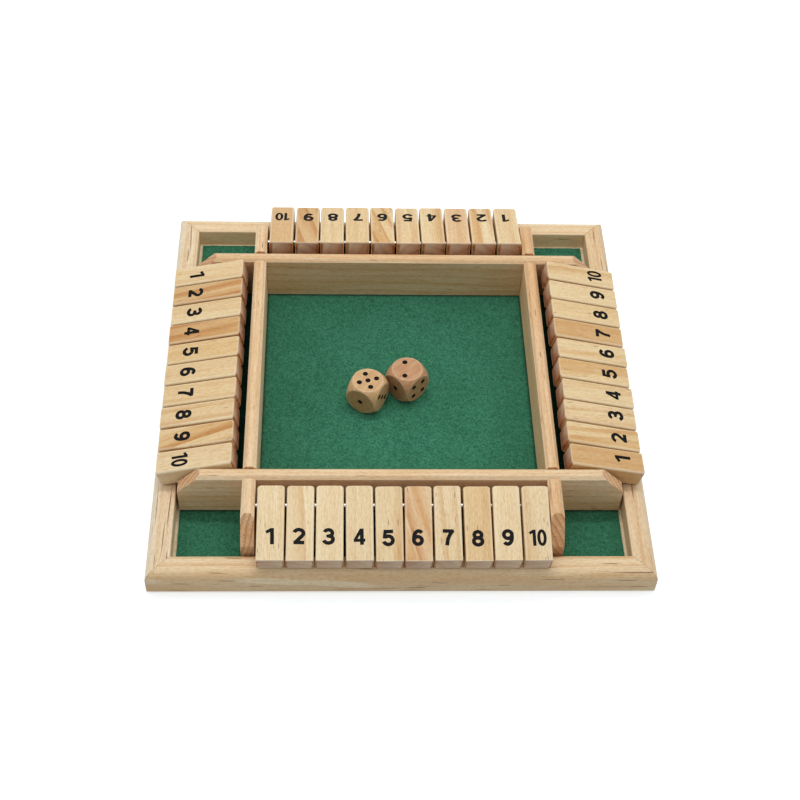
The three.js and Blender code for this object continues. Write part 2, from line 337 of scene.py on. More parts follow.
def log_place(tree):
    """Two places in the log, in millimetres: the plain one, and one bent as rings are."""
    place = add(tree, "ShaderNodeAttribute", attribute_name="place_in_log").outputs["Vector"]
    drift = patches(tree, place, (75, 17, 17), 1.5)
    drift = {0: drift.outputs["Color"], 1: (0.5, 0.5, 0.5)}
    drift = add(tree, "ShaderNodeVectorMath", drift, operation="SUBTRACT")
    bent = {0: drift, 1: (0, WAVER, WAVER), 2: place}
    return place, add(tree, "ShaderNodeVectorMath", bent, operation="MULTIPLY_ADD")


def late_wood(tree, bent, ring_width):
    """The share of late wood: it grows slowly through the year and ends at once."""
    across = add(tree, "ShaderNodeVectorMath", {0: bent, 1: (0, 1, 1)}, **TIMES)
    from_heart = add(tree, "ShaderNodeVectorMath", {0: across}, operation="LENGTH")
    years = add(tree, "ShaderNodeMath", {0: from_heart, 1: ring_width}, operation="DIVIDE")
    year = add(tree, "ShaderNodeMath", {0: years}, operation="FRACT")
    grows = {"Value": year, "From Min": 0.4, "From Max": 0.93}
    grows = add(tree, "ShaderNodeMapRange", grows, **SMOOTH)
    ends = {"Value": year, "From Min": 0.94, "From Max": 1.0, "To Min": 1.0, "To Max": 0.0}
    ends = add(tree, "ShaderNodeMapRange", ends, **SMOOTH)
    return add(tree, "ShaderNodeMath", {0: grows, 1: ends}, **TIMES)


def speckled(tree, colour, place):
    """Mottling of the sanded face, half a millimetre wide and longer along the grain."""
    speck = patches(tree, place, (2.2, 0.5, 0.5), 2.0)
    return layered(tree, speck, (0.4, 0.7, 0.6), colour, linear("#E8D7BE"), TINT)


def cut_across(tree, least=0.45, most=0.75):
    """One on faces that cut the fibres, nought on faces along them: least and most are the
    cosines of the angle to the fibres at which the change starts and ends."""
    normal = add(tree, "ShaderNodeTexCoord").outputs["Normal"]
    fibres = add(tree, "ShaderNodeAttribute", attribute_name="fibre_direction").outputs["Vector"]
    facing = add(tree, "ShaderNodeVectorMath", {0: normal, 1: fibres}, operation="DOT_PRODUCT")
    facing = add(tree, "ShaderNodeMath", {0: facing}, operation="ABSOLUTE")
    facing = {"Value": facing, "From Min": least, "From Max": most}
    return add(tree, "ShaderNodeMapRange", facing, **SMOOTH)


# %% Pine, layer by layer
def banded(tree, colour, bent, banding):
    """Broad bands along the grain, from sapwood to warmer heartwood."""
    band = {"Value": patches(tree, bent, (90, 7, 7), 2.0), "From Min": 0.42, "From Max": 0.62}
    band = add(tree, "ShaderNodeMapRange", band, **SMOOTH)
    band = add(tree, "ShaderNodeMath", {0: band, 1: banding}, **TIMES)
    return add(tree, "ShaderNodeMix", {"Factor": band, "A": colour, "B": linear("#EDD4AE")}, **TINT)


def ringed(tree, colour, late, strength):
    """Rings of late wood, stronger on some pieces than on others."""
    share = add(tree, "ShaderNodeMath", {0: late, 1: strength}, **TIMES)
    rings = {"Factor": share, "A": colour, "B": linear("#DDB67C")}
    return add(tree, "ShaderNodeMix", rings, **TINT)


def fibred(tree, colour, fibre):
    """Fine lines along the grain."""
    return layered(tree, fibre, (0.62, 0.36, 0.45), colour, linear("#EBDBC3"), TINT)


def streaked(tree, colour, bent, streaking, length, width, share):
    """Short brown streaks of resin, some faint. The log is cut into stretched cells, and each
    cell that a draw picks holds one streak; streaking times share is how many are picked."""
    reach = 0.22  # of a cell, from the streak's middle to its end
    cell = (length / (2 * reach), width / (2 * reach), width / (2 * reach))
    cells = add(tree, "ShaderNodeMapping", {"Vector": bent, "Scale": cell}, **SIZED)
    cells = add(tree, "ShaderNodeTexVoronoi", {"Vector": cells, "Scale": 1.0, "Randomness": 1.0})
    lot = add(tree, "ShaderNodeSeparateColor", {"Color": cells.outputs["Color"]})
    chance = add(tree, "ShaderNodeMath", {0: streaking, 1: share}, **TIMES)
    picked = add(tree, "ShaderNodeMath", {0: lot, 1: chance}, operation="LESS_THAN")
    inside = {"Value": cells, "From Min": reach, "From Max": 0.45 * reach, "To Max": 0.95}
    inside = add(tree, "ShaderNodeMapRange", inside, **SMOOTH)
    share = add(tree, "ShaderNodeMath", {0: inside, 1: picked}, **TIMES)
    dark = {"Value": lot.outputs["Green"], "To Min": 0.45, "To Max": 1.0}
    dark = add(tree, "ShaderNodeMapRange", dark)
    share = add(tree, "ShaderNodeMath", {0: share, 1: dark}, **TIMES)
    resin = {"Factor": share, "A": colour, "B": linear("#6F3C1A")}
    return add(tree, "ShaderNodeMix", resin, **BLEND)


def end_grained(tree, colour, place, ends, tints):
    """Faces across the grain: greyer, darker, and speckled by the open ends of the fibres."""
    pores = patches(tree, place, (0.6, 0.6, 0.6), 2.0)
    dark, light = (linear(tint) for tint in tints)
    tint = layered(tree, pores, (0.3, 0.7, 1.0), dark, light, BLEND)
    return add(tree, "ShaderNodeMix", {"Factor": ends, "A": colour, "B": tint}, **TINT)


# %% Pine material
FIBRE_WIDTH = 0.35  # real fibres are ten times finer, but would not show
PINE_WEAR_AND_HIGHLIGHT, BEECH_WEAR_AND_HIGHLIGHT = 0.42, 0.17  # how far a fully marked edge goes towards its pale tint: wear and painted highlight
LACQUER = {"IOR": 1.5, "Specular IOR Level": 0.4}


def lacquered_pine(name, roughness, ring_width, streaks, end_tints):
    """Sanded pine under a thin clear lacquer. The tone and traits come from each piece. The
    width of a year's ring is in millimetres, as are the length and width of each kind of
    resin streak, which come before its share. The end tints are what the pores take from the
    tone on a sawn end."""
    material, tree = new_material(name)
    place, bent = log_place(tree)
    tone = add(tree, "ShaderNodeAttribute", attribute_name="wood_tone").outputs["Color"]
    traits = add(tree, "ShaderNodeAttribute", attribute_name="wood_traits").outputs["Vector"]
    edge_wear_highlight = add(tree, "ShaderNodeAttribute", attribute_name="worn_edge").outputs["Fac"]
    banding, streaking, ringing = add(tree, "ShaderNodeSeparateXYZ", {"Vector": traits}).outputs
    late = late_wood(tree, bent, ring_width)
    ends = cut_across(tree)
    ringing = add(tree, "ShaderNodeMath", {0: ends, 1: 0.5, 2: ringing}, operation="MULTIPLY_ADD")
    fibre = patches(tree, place, (12, FIBRE_WIDTH, FIBRE_WIDTH), 3.0)

    colour = banded(tree, tone, bent, banding)
    colour = ringed(tree, colour, late, ringing)
    colour = fibred(tree, colour, fibre)
    colour = speckled(tree, colour, place)
    for streak in streaks:
        colour = streaked(tree, colour, bent, streaking, *streak)
    colour = end_grained(tree, colour, place, ends, end_tints)
    # Marked edges turn paler: partly wear, partly a painted highlight.
    edge = add(tree, "ShaderNodeMath", {0: edge_wear_highlight, 1: PINE_WEAR_AND_HIGHLIGHT}, **TIMES)
    paler = {"Factor": edge, "A": colour, "B": linear("#FFF1D0")}
    colour = add(tree, "ShaderNodeMix", paler, **BLEND)

    relief = add(tree, "ShaderNodeMath", {0: fibre, 1: late}, operation="ADD")
    bump = add(tree, "ShaderNodeBump", {"Strength": 0.2, "Distance": 0.04 * MM, "Height": relief})
    gloss = {"Value": fibre, "From Min": 0.3, "From Max": 0.7}
    gloss |= {"To Min": roughness - 0.05, "To Max": roughness + 0.07}
    gloss = add(tree, "ShaderNodeMapRange", gloss)
    gloss = add(tree, "ShaderNodeMath", {0: ends, 1: 0.12, 2: gloss}, operation="MULTIPLY_ADD")
    shader = {"Base Color": colour, "Roughness": gloss, "Normal": bump} | LACQUER
    shader = add(tree, "ShaderNodeBsdfPrincipled", shader)
    add(tree, "ShaderNodeOutputMaterial", {"Surface": shader})
    return material


BOARD_ENDS = ("#DAC6BC", "#FBEDE4")
TILE_ENDS = ("#A97C63", "#CFA289")
RAIL_STREAKS = [(13.0, 0.75, 1.0), (45.0, 0.8, 0.6)]  # dashes, and long lines
rail_pine = lacquered_pine("lacquered_pine_rails", 0.50, 4.6, RAIL_STREAKS, TILE_ENDS)
board_pine = lacquered_pine("lacquered_pine_boards", 0.50, 2.4, [(6.0, 0.5, 1.0)], BOARD_ENDS)
tile_pine = lacquered_pine("lacquered_pine_tiles", 0.45, 4.6, [(4.2, 0.5, 1.0)], TILE_ENDS)
print("pine nodes:", len(tile_pine.node_tree.nodes))

# %% [markdown]
# ## Beech, felt, plywood, steel and ink
#
# The dice are beech: finer and pinker than pine, with rings that barely show and many tiny
# darker flecks. The felt is pressed fibre, so it has no weave, only a soft mottle and loose
# hairs that lie in swirls. The base is thin plywood, faced with peeled veneer. The rods are
# bright drawn wire, and the numbers and pips are filled with a dull black ink.


# %% Beech material
def tumbled_beech():
    """Beech, tumbled until its edges are soft, then lacquered."""
    material, tree = new_material("tumbled_beech")
    place, bent = log_place(tree)
    tone = add(tree, "ShaderNodeAttribute", attribute_name="wood_tone").outputs["Color"]
    edge_wear_highlight = add(tree, "ShaderNodeAttribute", attribute_name="worn_edge").outputs["Fac"]
    late = add(tree, "ShaderNodeMath", {0: late_wood(tree, bent, 2.2), 1: 0.22}, **TIMES)
    colour = add(tree, "ShaderNodeMix", {"Factor": late, "A": tone, "B": linear("#DDB294")}, **TINT)
    flecks = add(tree, "ShaderNodeMapping", {"Vector": place, "Scale": (2.8, 0.6, 0.6)}, **SIZED)
    flecks = add(tree, "ShaderNodeTexVoronoi", {"Vector": flecks, "Scale": 1.0, "Randomness": 1.0})
    colour = layered(tree, flecks, (0.3, 0.1, 0.45), colour, linear("#CFA284"), TINT)
    cloud = patches(tree, place, (6, 1.6, 1.6), 4.0)
    colour = layered(tree, cloud, (0.35, 0.65, 0.5), colour, linear("#E6CDB6"), TINT)
    ends = add(tree, "ShaderNodeMath", {0: cut_across(tree, 0.68, 0.95), 1: 0.6}, **TIMES)
    greyer = {"Factor": ends, "A": colour, "B": linear("#C9C6C2")}
    colour = add(tree, "ShaderNodeMix", greyer, **TINT)
    # Marked rims turn paler: partly wear, partly a painted highlight.
    rim = add(tree, "ShaderNodeMath", {0: edge_wear_highlight, 1: BEECH_WEAR_AND_HIGHLIGHT}, **TIMES)
    paler = {"Factor": rim, "A": colour, "B": linear("#F7E2C4")}
    colour = add(tree, "ShaderNodeMix", paler, **BLEND)
    surface(tree, colour, cloud, (0.40, 0.50), (0.2, 0.04), LACQUER)
    return material


# %% Felt material
def in_millimetres(tree):
    """A point's own place in the game's frame, in millimetres."""
    place = add(tree, "ShaderNodeTexCoord").outputs["Object"]
    return add(tree, "ShaderNodeVectorMath", {0: place, "Scale": 1 / MM}, operation="SCALE")


PAINTED_LIGHT_MIDDLE = (15.0, -30.0, felt_top / MM)  # the middle of the painted pool of light on the felt
PAINTED_LIGHT_NEAR, PAINTED_LIGHT_FAR = 20.0, 85.0  # how far from there the painted light starts to fade, and where it has faded
PAINTED_SHADE_REACH = 1.8  # how far the painted contact shade reaches out from a board's side
OUTSIDE_PAINTED_LIGHT, PAINTED_SHADE_UNDER_TILES, PAINTED_SHADE_AT_BOARDS = 0.87, 0.22, 0.4  # shares of the felt's colour: outside the painted light, in the painted shade under the tiles, and in the painted shade at a board's foot


def felt_painted_light_and_shade(tree, place):
    """Painted light and shade in the felt's colour: a painted pool of light, palest a little right
    of and in front of the tray's middle, painted shade along the feet of the boards, and the
    deepest painted shade under the tiles."""
    # Painted pool of light: the felt is paler near this middle.
    middle = add(tree, "ShaderNodeVectorMath", {0: place, 1: PAINTED_LIGHT_MIDDLE}, operation="DISTANCE")
    painted_light_pool = {"Value": middle.outputs["Value"], "From Min": PAINTED_LIGHT_NEAR, "From Max": PAINTED_LIGHT_FAR}
    painted_light_pool |= {"To Min": 1.0, "To Max": OUTSIDE_PAINTED_LIGHT}
    painted_light_pool = add(tree, "ShaderNodeMapRange", painted_light_pool, **SMOOTH)
    away = add(tree, "ShaderNodeVectorMath", {0: place}, operation="ABSOLUTE")
    away = add(tree, "ShaderNodeSeparateXYZ", {"Vector": away}).outputs
    far = add(tree, "ShaderNodeMath", {0: away["X"], 1: away["Y"]}, operation="MAXIMUM")
    near = add(tree, "ShaderNodeMath", {0: away["X"], 1: away["Y"]}, operation="MINIMUM")
    # Painted shade: the felt is darker under the tile rows, between the boards and the rails.
    outside = add(tree, "ShaderNodeMath", {0: far, 1: crossing / MM}, operation="GREATER_THAN")
    between = add(tree, "ShaderNodeMath", {0: near, 1: crossing / MM}, operation="LESS_THAN")
    under_tiles_shade = add(tree, "ShaderNodeMath", {0: outside, 1: between}, **TIMES)
    under_tiles_shade = {"Value": under_tiles_shade, "To Min": 1.0, "To Max": PAINTED_SHADE_UNDER_TILES}
    under_tiles_shade = add(tree, "ShaderNodeMapRange", under_tiles_shade)
    # Painted contact shade: the felt darkens close to each board's foot.
    boards = [{0: away[axis], 1: crossing / MM} for axis in "XY"]
    boards = [add(tree, "ShaderNodeMath", board, operation="SUBTRACT") for board in boards]
    boards = [add(tree, "ShaderNodeMath", {0: board}, operation="ABSOLUTE") for board in boards]
    board_foot_shade = add(tree, "ShaderNodeMath", {0: boards[0], 1: boards[1]}, operation="MINIMUM")
    half = board_thickness / 2 / MM
    board_foot_shade = {"Value": board_foot_shade, "From Min": half, "From Max": half + PAINTED_SHADE_REACH, "To Min": PAINTED_SHADE_AT_BOARDS}
    board_foot_shade = add(tree, "ShaderNodeMapRange", board_foot_shade, **SMOOTH)
    share = add(tree, "ShaderNodeMath", {0: under_tiles_shade, 1: board_foot_shade}, **TIMES)
    return add(tree, "ShaderNodeMath", {0: share, 1: painted_light_pool}, **TIMES)


def pressed_felt():
    """Short pressed fibre, dyed green: mottled and dull, with hairs drawn half a millimetre
    wide, because the real ones would not show."""
    material, tree = new_material("pressed_felt")
    place = in_millimetres(tree)
    hairs = {"Vector": place, "Scale": 0.7, "Detail": 5.0, "Distortion": 1.6}
    hairs = add(tree, "ShaderNodeTexNoise", hairs)
    grit = add(tree, "ShaderNodeTexNoise", {"Vector": place, "Scale": 1.7, "Detail": 2.0})
    broad = add(tree, "ShaderNodeTexNoise", {"Vector": place, "Scale": 0.05, "Detail": 3.0})
    colour = layered(tree, hairs, (0.34, 0.66, 1.0), linear("#2C684D"), linear("#468B6C"), BLEND)
    colour = layered(tree, grit, (0.35, 0.65, 0.6), colour, linear("#CBD6D0"), TINT)
    colour = layered(tree, broad, (0.4, 0.7, 0.4), colour, linear("#DCE6E0"), TINT)
    # The painted light and shade scale the felt's colour.
    with_painted_light = {0: colour, "Scale": felt_painted_light_and_shade(tree, place)}
    colour = add(tree, "ShaderNodeVectorMath", with_painted_light, operation="SCALE")
    height = add(tree, "ShaderNodeMath", {0: grit, 1: 0.6, 2: hairs}, operation="MULTIPLY_ADD")
    bump = add(tree, "ShaderNodeBump", {"Strength": 0.8, "Distance": 0.3 * MM, "Height": height})
    shader = {
        "Base Color": colour,
        "Roughness": 1.0,
        "Specular IOR Level": 0.1,
        "Normal": bump,
        "Sheen Weight": 0.2,
        "Sheen Roughness": 0.5,
        "Sheen Tint": linear("#B9C6BE"),
    }
    shader = add(tree, "ShaderNodeBsdfPrincipled", shader)
    add(tree, "ShaderNodeOutputMaterial", {"Surface": shader})
    return material


# %% Plywood material
def sanded_plywood():
    """The face of thin plywood: peeled veneer, so the rings spread into wide flames."""
    material, tree = new_material("sanded_plywood")
    place = in_millimetres(tree)
    flame = patches(tree, place, (120, 16, 16), 2.0, 0.6)
    rings = add(tree, "ShaderNodeMath", {0: flame, 1: 9.0}, **TIMES)
    rings = add(tree, "ShaderNodeMath", {0: rings}, operation="FRACT")
    colour = layered(tree, rings, (0.4, 1.0, 0.4), linear("#E6D8B6"), linear("#CDB388"), BLEND)
    fibre = patches(tree, place, (12, 0.5, 0.5), 3.0)
    colour = layered(tree, fibre, (0.35, 0.65, 0.5), colour, linear("#ECE0CB"), TINT)
    surface(tree, colour, fibre, (0.6, 0.75), (0.3, 0.06), {"IOR": 1.5})
    return material


# %% Steel material
def drawn_steel():
    """Bright drawn wire: faint lines along it from the die that it was pulled through."""
    material, tree = new_material("bright_drawn_steel")
    place = add(tree, "ShaderNodeAttribute", attribute_name="place_in_log").outputs["Vector"]
    lines = patches(tree, place, (20, 0.12, 0.12), 2.0)
    tones = {"Factor": lines, "A": linear("#C9C8C6"), "B": linear("#E2E1DF")}
    colour = add(tree, "ShaderNodeMix", tones, **BLEND)
    surface(tree, colour, lines, (0.18, 0.32), (0.15, 0.01), {"Metallic": 1.0})
    return material


# %% Ink material
def stamped_ink():
    """Dull black stamping ink. It lies a little unevenly where it sank into the wood."""
    material, tree = new_material("stamped_black_ink")
    place = add(tree, "ShaderNodeAttribute", attribute_name="place_in_log").outputs["Vector"]
    sunk = patches(tree, place, (1.6, 0.5, 0.5), 3.0)
    colour = layered(tree, sunk, (0.45, 0.75, 0.7), linear("#060607"), linear("#101013"), BLEND)
    surface(tree, colour, sunk, (0.45, 0.6), (0.25, 0.04), {"Specular IOR Level": 0.12})
    return material


beech = tumbled_beech()
felt = pressed_felt()
plywood = sanded_plywood()
steel = drawn_steel()
ink = stamped_ink()
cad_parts["base_panel"].data.materials.clear()
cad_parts["base_panel"].data.materials.append(plywood)
print("materials:", sorted(m.name for m in bpy.data.materials if m.node_tree))

# %% [markdown]
# ## Shaping wood
#
# A joiner saws a profile, crosscuts it and eases the edges. The helpers here do the same:
# an outline with rounded corners, a prism pushed from it, the common part of two solids,
# a bevel on sharp edges, and shading that leaves flat faces flat. The Weighted Normal
# modifier does the last part: large faces decide the shading at their corners, so no soft
# shadow creeps over a sawn face from the rounding beside it.


# %% Meshes
def mesh_from(work, name):
    """A mesh from what was built on the bench, with all its faces turned outwards."""
    bmesh.ops.recalc_face_normals(work, faces=work.faces)
    mesh = bpy.data.meshes.new(name)
    work.to_mesh(mesh)
    work.free()
    return mesh


def bridged(rings, name):
    """A closed tube: rings of points, each bridged to the next, and both ends filled."""
    work = bmesh.new()
    rings = [[work.verts.new(point) for point in ring] for ring in rings]
    for one, two in zip(rings, rings[1:]):
        for k in range(len(one)):
            onward = (k + 1) % len(one)
            work.faces.new((one[k], one[onward], two[onward], two[k]))
    work.faces.new(rings[0])
    work.faces.new(rings[-1])
    return mesh_from(work, name)


def store(mesh, name, kind, values, domain="POINT"):
    """Gives every point, or every corner of a face, its value of an attribute."""
    field = {"FLOAT": "value", "FLOAT_VECTOR": "vector", "FLOAT_COLOR": "color"}[kind]
    mesh.attributes.new(name, kind, domain).data.foreach_set(field, values)


def triangles(mesh):
    return sum(len(face.vertices) - 2 for face in mesh.polygons)


# %% Outlines and prisms
def rounded(corners, steps=6):
    """A closed outline whose corners, each (x, y, radius), are rounded by arcs."""
    points = []
    for i, (x, y, radius) in enumerate(corners):
        corner = Vector((x, y))
        if radius == 0:
            points.append(corner)
            continue
        back = (Vector(corners[i - 1][:2]) - corner).normalized()
        onward = (Vector(corners[(i + 1) % len(corners)][:2]) - corner).normalized()
        half = math.acos(back.dot(onward)) / 2
        centre = corner + (back + onward).normalized() * radius / math.sin(half)
        start = corner + back * radius / math.tan(half) - centre
        sweep = math.copysign(math.pi - 2 * half, onward.cross(back))
        points += [centre + Matrix.Rotation(sweep * k / steps, 2) @ start for k in range(steps + 1)]
    return points


def prism(name, outline, length, x_axis, y_axis):
    """A closed outline pushed to a length, centred, in the plane of two axes."""
    x_axis, y_axis = Vector(x_axis), Vector(y_axis)
    along = x_axis.cross(y_axis)
    flat = [x_axis * p.x + y_axis * p.y for p in outline]
    ends = [[p + along * end * length / 2 for p in flat] for end in (-1, 1)]
    count = len(outline)
    faces = [list(range(count))[::-1], list(range(count, 2 * count))]
    faces += [(i, (i + 1) % count, (i + 1) % count + count, i + count) for i in range(count)]
    mesh = bpy.data.meshes.new(name)
    mesh.from_pydata([tuple(p) for p in ends[0] + ends[1]], [], faces)
    work = bmesh.new()
    work.from_mesh(mesh)
    return mesh_from(work, name)


# %% Cutting and finishing
def evaluated(bench):
    """The plain mesh that an object's modifiers make. The object is then put away."""
    scene.collection.objects.link(bench)
    bpy.context.view_layer.update()
    seen = bench.evaluated_get(bpy.context.evaluated_depsgraph_get())
    result = bpy.data.meshes.new_from_object(seen)
    bench.modifiers.clear()
    bpy.data.objects.remove(bench)
    return result


def with_modifier(mesh, kind, **settings):
    """The mesh after one modifier."""
    bench = bpy.data.objects.new("bench", mesh)
    modifier = bench.modifiers.new(kind.lower(), kind)
    for name, value in settings.items():
        setattr(modifier, name, value)
    return evaluated(bench)


def common_part(mesh, tool):
    """What two solids have in common."""
    helper = bpy.data.objects.new("tool", tool)
    scene.collection.objects.link(helper)
    result = with_modifier(mesh, "BOOLEAN", operation="INTERSECT", object=helper, solver="EXACT")
    bpy.data.objects.remove(helper)
    return result


def bevelled(mesh, width, above):
    """Edges sharper than an angle in degrees, rounded by a small radius."""
    limit = {"limit_method": "ANGLE", "angle_limit": math.radians(above)}
    return with_modifier(mesh, "BEVEL", width=width, segments=2, **limit)


SHARP = math.radians(35)  # edges that stay sharp to the eye turn by more than this


def shaded(mesh):
    """Shading that runs round the edges and keeps flat faces flat."""
    mesh.shade_smooth()
    mesh.set_sharp_from_angle(angle=SHARP)
    return with_modifier(mesh, "WEIGHTED_NORMAL", keep_sharp=True)


# %% [markdown]
# ## Which part of which log
#
# The tone of each piece is one of a few named kinds, as a buyer of timber would sort them.
# A seeded draw puts each piece somewhere else in the log: near the heart the rings make
# tight arcs, and far from it they run through as straight lines.

# %% Log places, tones and traits
TONES = {
    "ivory": "#F2DEB7",
    "cream": "#ECD6AE",
    "pale": "#E8CFA3",
    "straw": "#E6CA9B",
    "golden": "#E4C592",
    "honey": "#DBB786",
    "tan": "#D6AE78",
    "rosy": "#E4C297",
}
LOG_HALF = 900  # millimetres along the log, each way from its middle
HEART_ASIDE = 26  # how far beside the heart a piece may lie, in millimetres
HEART_ABOVE = (9, 34)  # and how far above it
ROLL = 0.5  # radians round the log, each way
draw = random.Random(4)


def from_log(mesh, fibres, tone, traits, turn, slant=0.0):
    """Gives a piece its place in the log, its fibre direction, its tone and its traits:
    how banded, streaky and ringed it is. The fibres run along X or Y of the piece's own
    frame, turned by a slant in degrees; turn then puts the piece where it belongs."""
    along, aside = draw.uniform(-LOG_HALF, LOG_HALF), draw.uniform(-HEART_ASIDE, HEART_ASIDE)
    shift = Vector((along, aside, draw.uniform(*HEART_ABOVE)))
    order = Matrix.Rotation(math.radians(-slant) - (QUARTER_TURN if fibres == "Y" else 0), 3, "Z")
    roll = Matrix.Rotation(draw.uniform(-ROLL, ROLL), 3, "X")
    places = [roll @ (order @ vertex.co / MM) + shift for vertex in mesh.vertices]
    direction = turn.to_3x3() @ order.inverted() @ Vector((1, 0, 0))
    mesh.transform(turn)
    count = len(mesh.vertices)
    store(mesh, "place_in_log", "FLOAT_VECTOR", [value for place in places for value in place])
    store(mesh, "fibre_direction", "FLOAT_VECTOR", [*direction] * count)
    store(mesh, "wood_tone", "FLOAT_COLOR", linear(TONES.get(tone, tone)) * count)
    store(mesh, "wood_traits", "FLOAT_VECTOR", traits * count)


def finished(node, mesh, material, body):
    """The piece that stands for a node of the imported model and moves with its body."""
    if material:
        mesh.materials.clear()
        mesh.materials.append(material)
    piece = bpy.data.objects.new(f"{node}_finished", mesh)
    scene.collection.objects.link(piece)
    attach(piece, body)
    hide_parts(node)
    return piece


# %% Worn arrises with painted highlights
def mark_faces(mesh, wear_and_highlight_share, is_marked_edge):
    """Marks narrow rounded faces along an edge, which are made paler: partly wear, partly a painted
    highlight.
    """
    marks = [wear_and_highlight_share * is_marked_edge(face) for face in mesh.polygons for _ in face.loop_indices]
    store(mesh, "worn_edge", "FLOAT", marks, "CORNER")


# %% [markdown]
# ## The frame
#
# Each rail is a moulded strip: its outer edges are rounded, the upper one more, its inner
# edge is only broken with sandpaper, and a rebate below holds the base. The ends are cut
# at 45 degrees by sliding every end point along by its own distance from the middle, which
# is exactly what a mitre is.


# %% Rails
def rail_mesh():
    """The front rail: its section, pushed along X, mitred and rounded at the corners."""
    outline = rounded([
        (frame_inner + REBATE_DEPTH, 0, 0),
        (frame_outer, 0, RAIL_FOOT_ROUND),
        (frame_outer, rail_height, RAIL_ROUND),
        (frame_inner, rail_height, RAIL_ARRIS),
        (frame_inner, rebate_height, 0),
        (frame_inner + REBATE_DEPTH, rebate_height, 0),
    ])
    mesh = prism("rail", outline, 2 * frame_outer, (0, -1, 0), (0, 0, 1))
    for vertex in mesh.vertices:
        vertex.co.x = math.copysign(-vertex.co.y - GLUE_LINE / math.sqrt(2), vertex.co.x)
    plan = rounded([(x * frame_outer, y * frame_outer, FRAME_CORNER) for x, y in SQUARE])
    return common_part(mesh, prism("plan", plan, 4 * rail_height, (1, 0, 0), (0, 1, 0)))


# Paler rail arrises: partly wear, partly a painted highlight.
RAIL_EDGE_WEAR_AND_HIGHLIGHT = 0.6
RAIL_TONES = {"front": "#EBD3AD", "right": "#E8CDA8", "back": "#F1DCB9", "left": "#F0DDBF"}
RAIL_TRAITS = {
    "front": (0.4, 0.75, 0.4),
    "right": (0.3, 0.4, 0.3),
    "back": (0.3, 0.25, 0.3),
    "left": (0.3, 0.7, 0.3),
}
for side, turn in TURNS.items():
    rail = shaded(rail_mesh())
    mark_faces(rail, RAIL_EDGE_WEAR_AND_HIGHLIGHT, lambda face: face.normal.y > 0.2 and face.normal.z > 0.2)
    from_log(rail, "X", RAIL_TONES[side], RAIL_TRAITS[side], turn)
    finished(f"{side}_rail", rail, rail_pine, "tray")
print("rail triangles:", triangles(rail))

# %% [markdown]
# ## The boards
#
# A board is the common part of two prisms: its cross-section with the eased top, pushed
# along its length, and its long outline with the clipped corners and the two slots, pushed
# through its thickness. The front and back boards have slots open below and drop over the
# other two, whose slots are open above.


# %% Boards
OVERRUN = 2 * MM  # how much longer each prism is than what it keeps


def board_mesh(slots_below):
    """A board along X, with its slots open below or above."""
    half = board_thickness / 2
    section = rounded([
        (-half, felt_top, 0),
        (half, felt_top, 0),
        (half, board_top - BOARD_FLANK, BOARD_ARRIS),
        (half - BOARD_FLANK, board_top, BOARD_BROW),
        (BOARD_FLANK - half, board_top, BOARD_BROW),
        (-half, board_top - BOARD_FLANK, BOARD_ARRIS),
    ])
    near, far = crossing - half - LAP_CLEARANCE, crossing + half + LAP_CLEARANCE
    lap = felt_top + (board_top - felt_top) * LAP_SHARE
    edge = felt_top if slots_below else board_top
    slot = [(near, edge, 0), (near, lap, 0), (far, lap, 0), (far, edge, 0)]
    ends = [(board_half, felt_top, 0), (board_half, board_top - END_CLIP, 0)]
    ends.append((board_half - END_CLIP, board_top, 0))
    right = slot + ends if slots_below else ends + slot[::-1]
    left = [(-x, z, r) for x, z, r in right][::-1]
    outline = rounded(right + left)
    along = prism("section", section, 2 * board_half + OVERRUN, (0, 1, 0), (0, 0, 1))
    across = prism("outline", outline, board_thickness + OVERRUN, (1, 0, 0), (0, 0, 1))
    return common_part(along, across)


BOARD_TONES = {"front": "#EED4AF", "right": "#E6C49B", "back": "#E8CAA3", "left": "#EED2AC"}
BOARD_TRAITS = (0.35, 0.2, 0.3)
BOARD_EASE = 0.3 * MM  # sandpaper on the sawn edges
# Paler board arrises: partly wear, partly a painted highlight.
BOARD_EDGE_WEAR_AND_HIGHLIGHT = 1.3


def between_side_and_flank(face):
    """Whether a face belongs to the small rounding between a board's side and its flank."""
    high = face.center.z > board_top - BOARD_FLANK - BOARD_ARRIS
    return high and abs(face.normal.x) < 0.1 and 0.08 < face.normal.z < 0.66


for side, turn in TURNS.items():
    board = shaded(bevelled(board_mesh(side in ("front", "back")), BOARD_EASE, 40))
    mark_faces(board, BOARD_EDGE_WEAR_AND_HIGHLIGHT, between_side_and_flank)
    board.transform(Matrix.Translation((0, -crossing, 0)))
    from_log(board, "X", BOARD_TONES[side], BOARD_TRAITS, turn)
    finished(f"{side}_board", board, board_pine, "tray")
print("board triangles:", triangles(board))

# %% [markdown]
# ## The hinge rods
#
# A rod is cut from drawn wire and its ends are broken with a small chamfer, so that they
# slip into the blind holes. Four rings of points, bridged one to the next, are all it needs.


# %% Hinge rods
ROD_SIDES = 24


def rod_mesh(length):
    """A rod along X, with a small chamfer at each end."""
    profile = [
        (-length / 2, rod_radius - ROD_CHAMFER),
        (-length / 2 + ROD_CHAMFER, rod_radius),
        (length / 2 - ROD_CHAMFER, rod_radius),
        (length / 2, rod_radius - ROD_CHAMFER),
    ]
    angles = [2 * math.pi * k / ROD_SIDES for k in range(ROD_SIDES)]
    rings = [[(x, r * math.cos(a), r * math.sin(a)) for a in angles] for x, r in profile]
    return bridged(rings, "rod")


for side, turn in TURNS.items():
    rod = shaded(rod_mesh(rod_high.x - rod_low.x))
    rod.transform(Matrix.Translation((0, -rod_out, rod_height)))
    from_log(rod, "X", "#FFFFFF", (0.0, 0.0, 0.0), turn)
    finished(f"{side}_hinge_rod", rod, steel, "tray")
print("rod triangles:", triangles(rod))

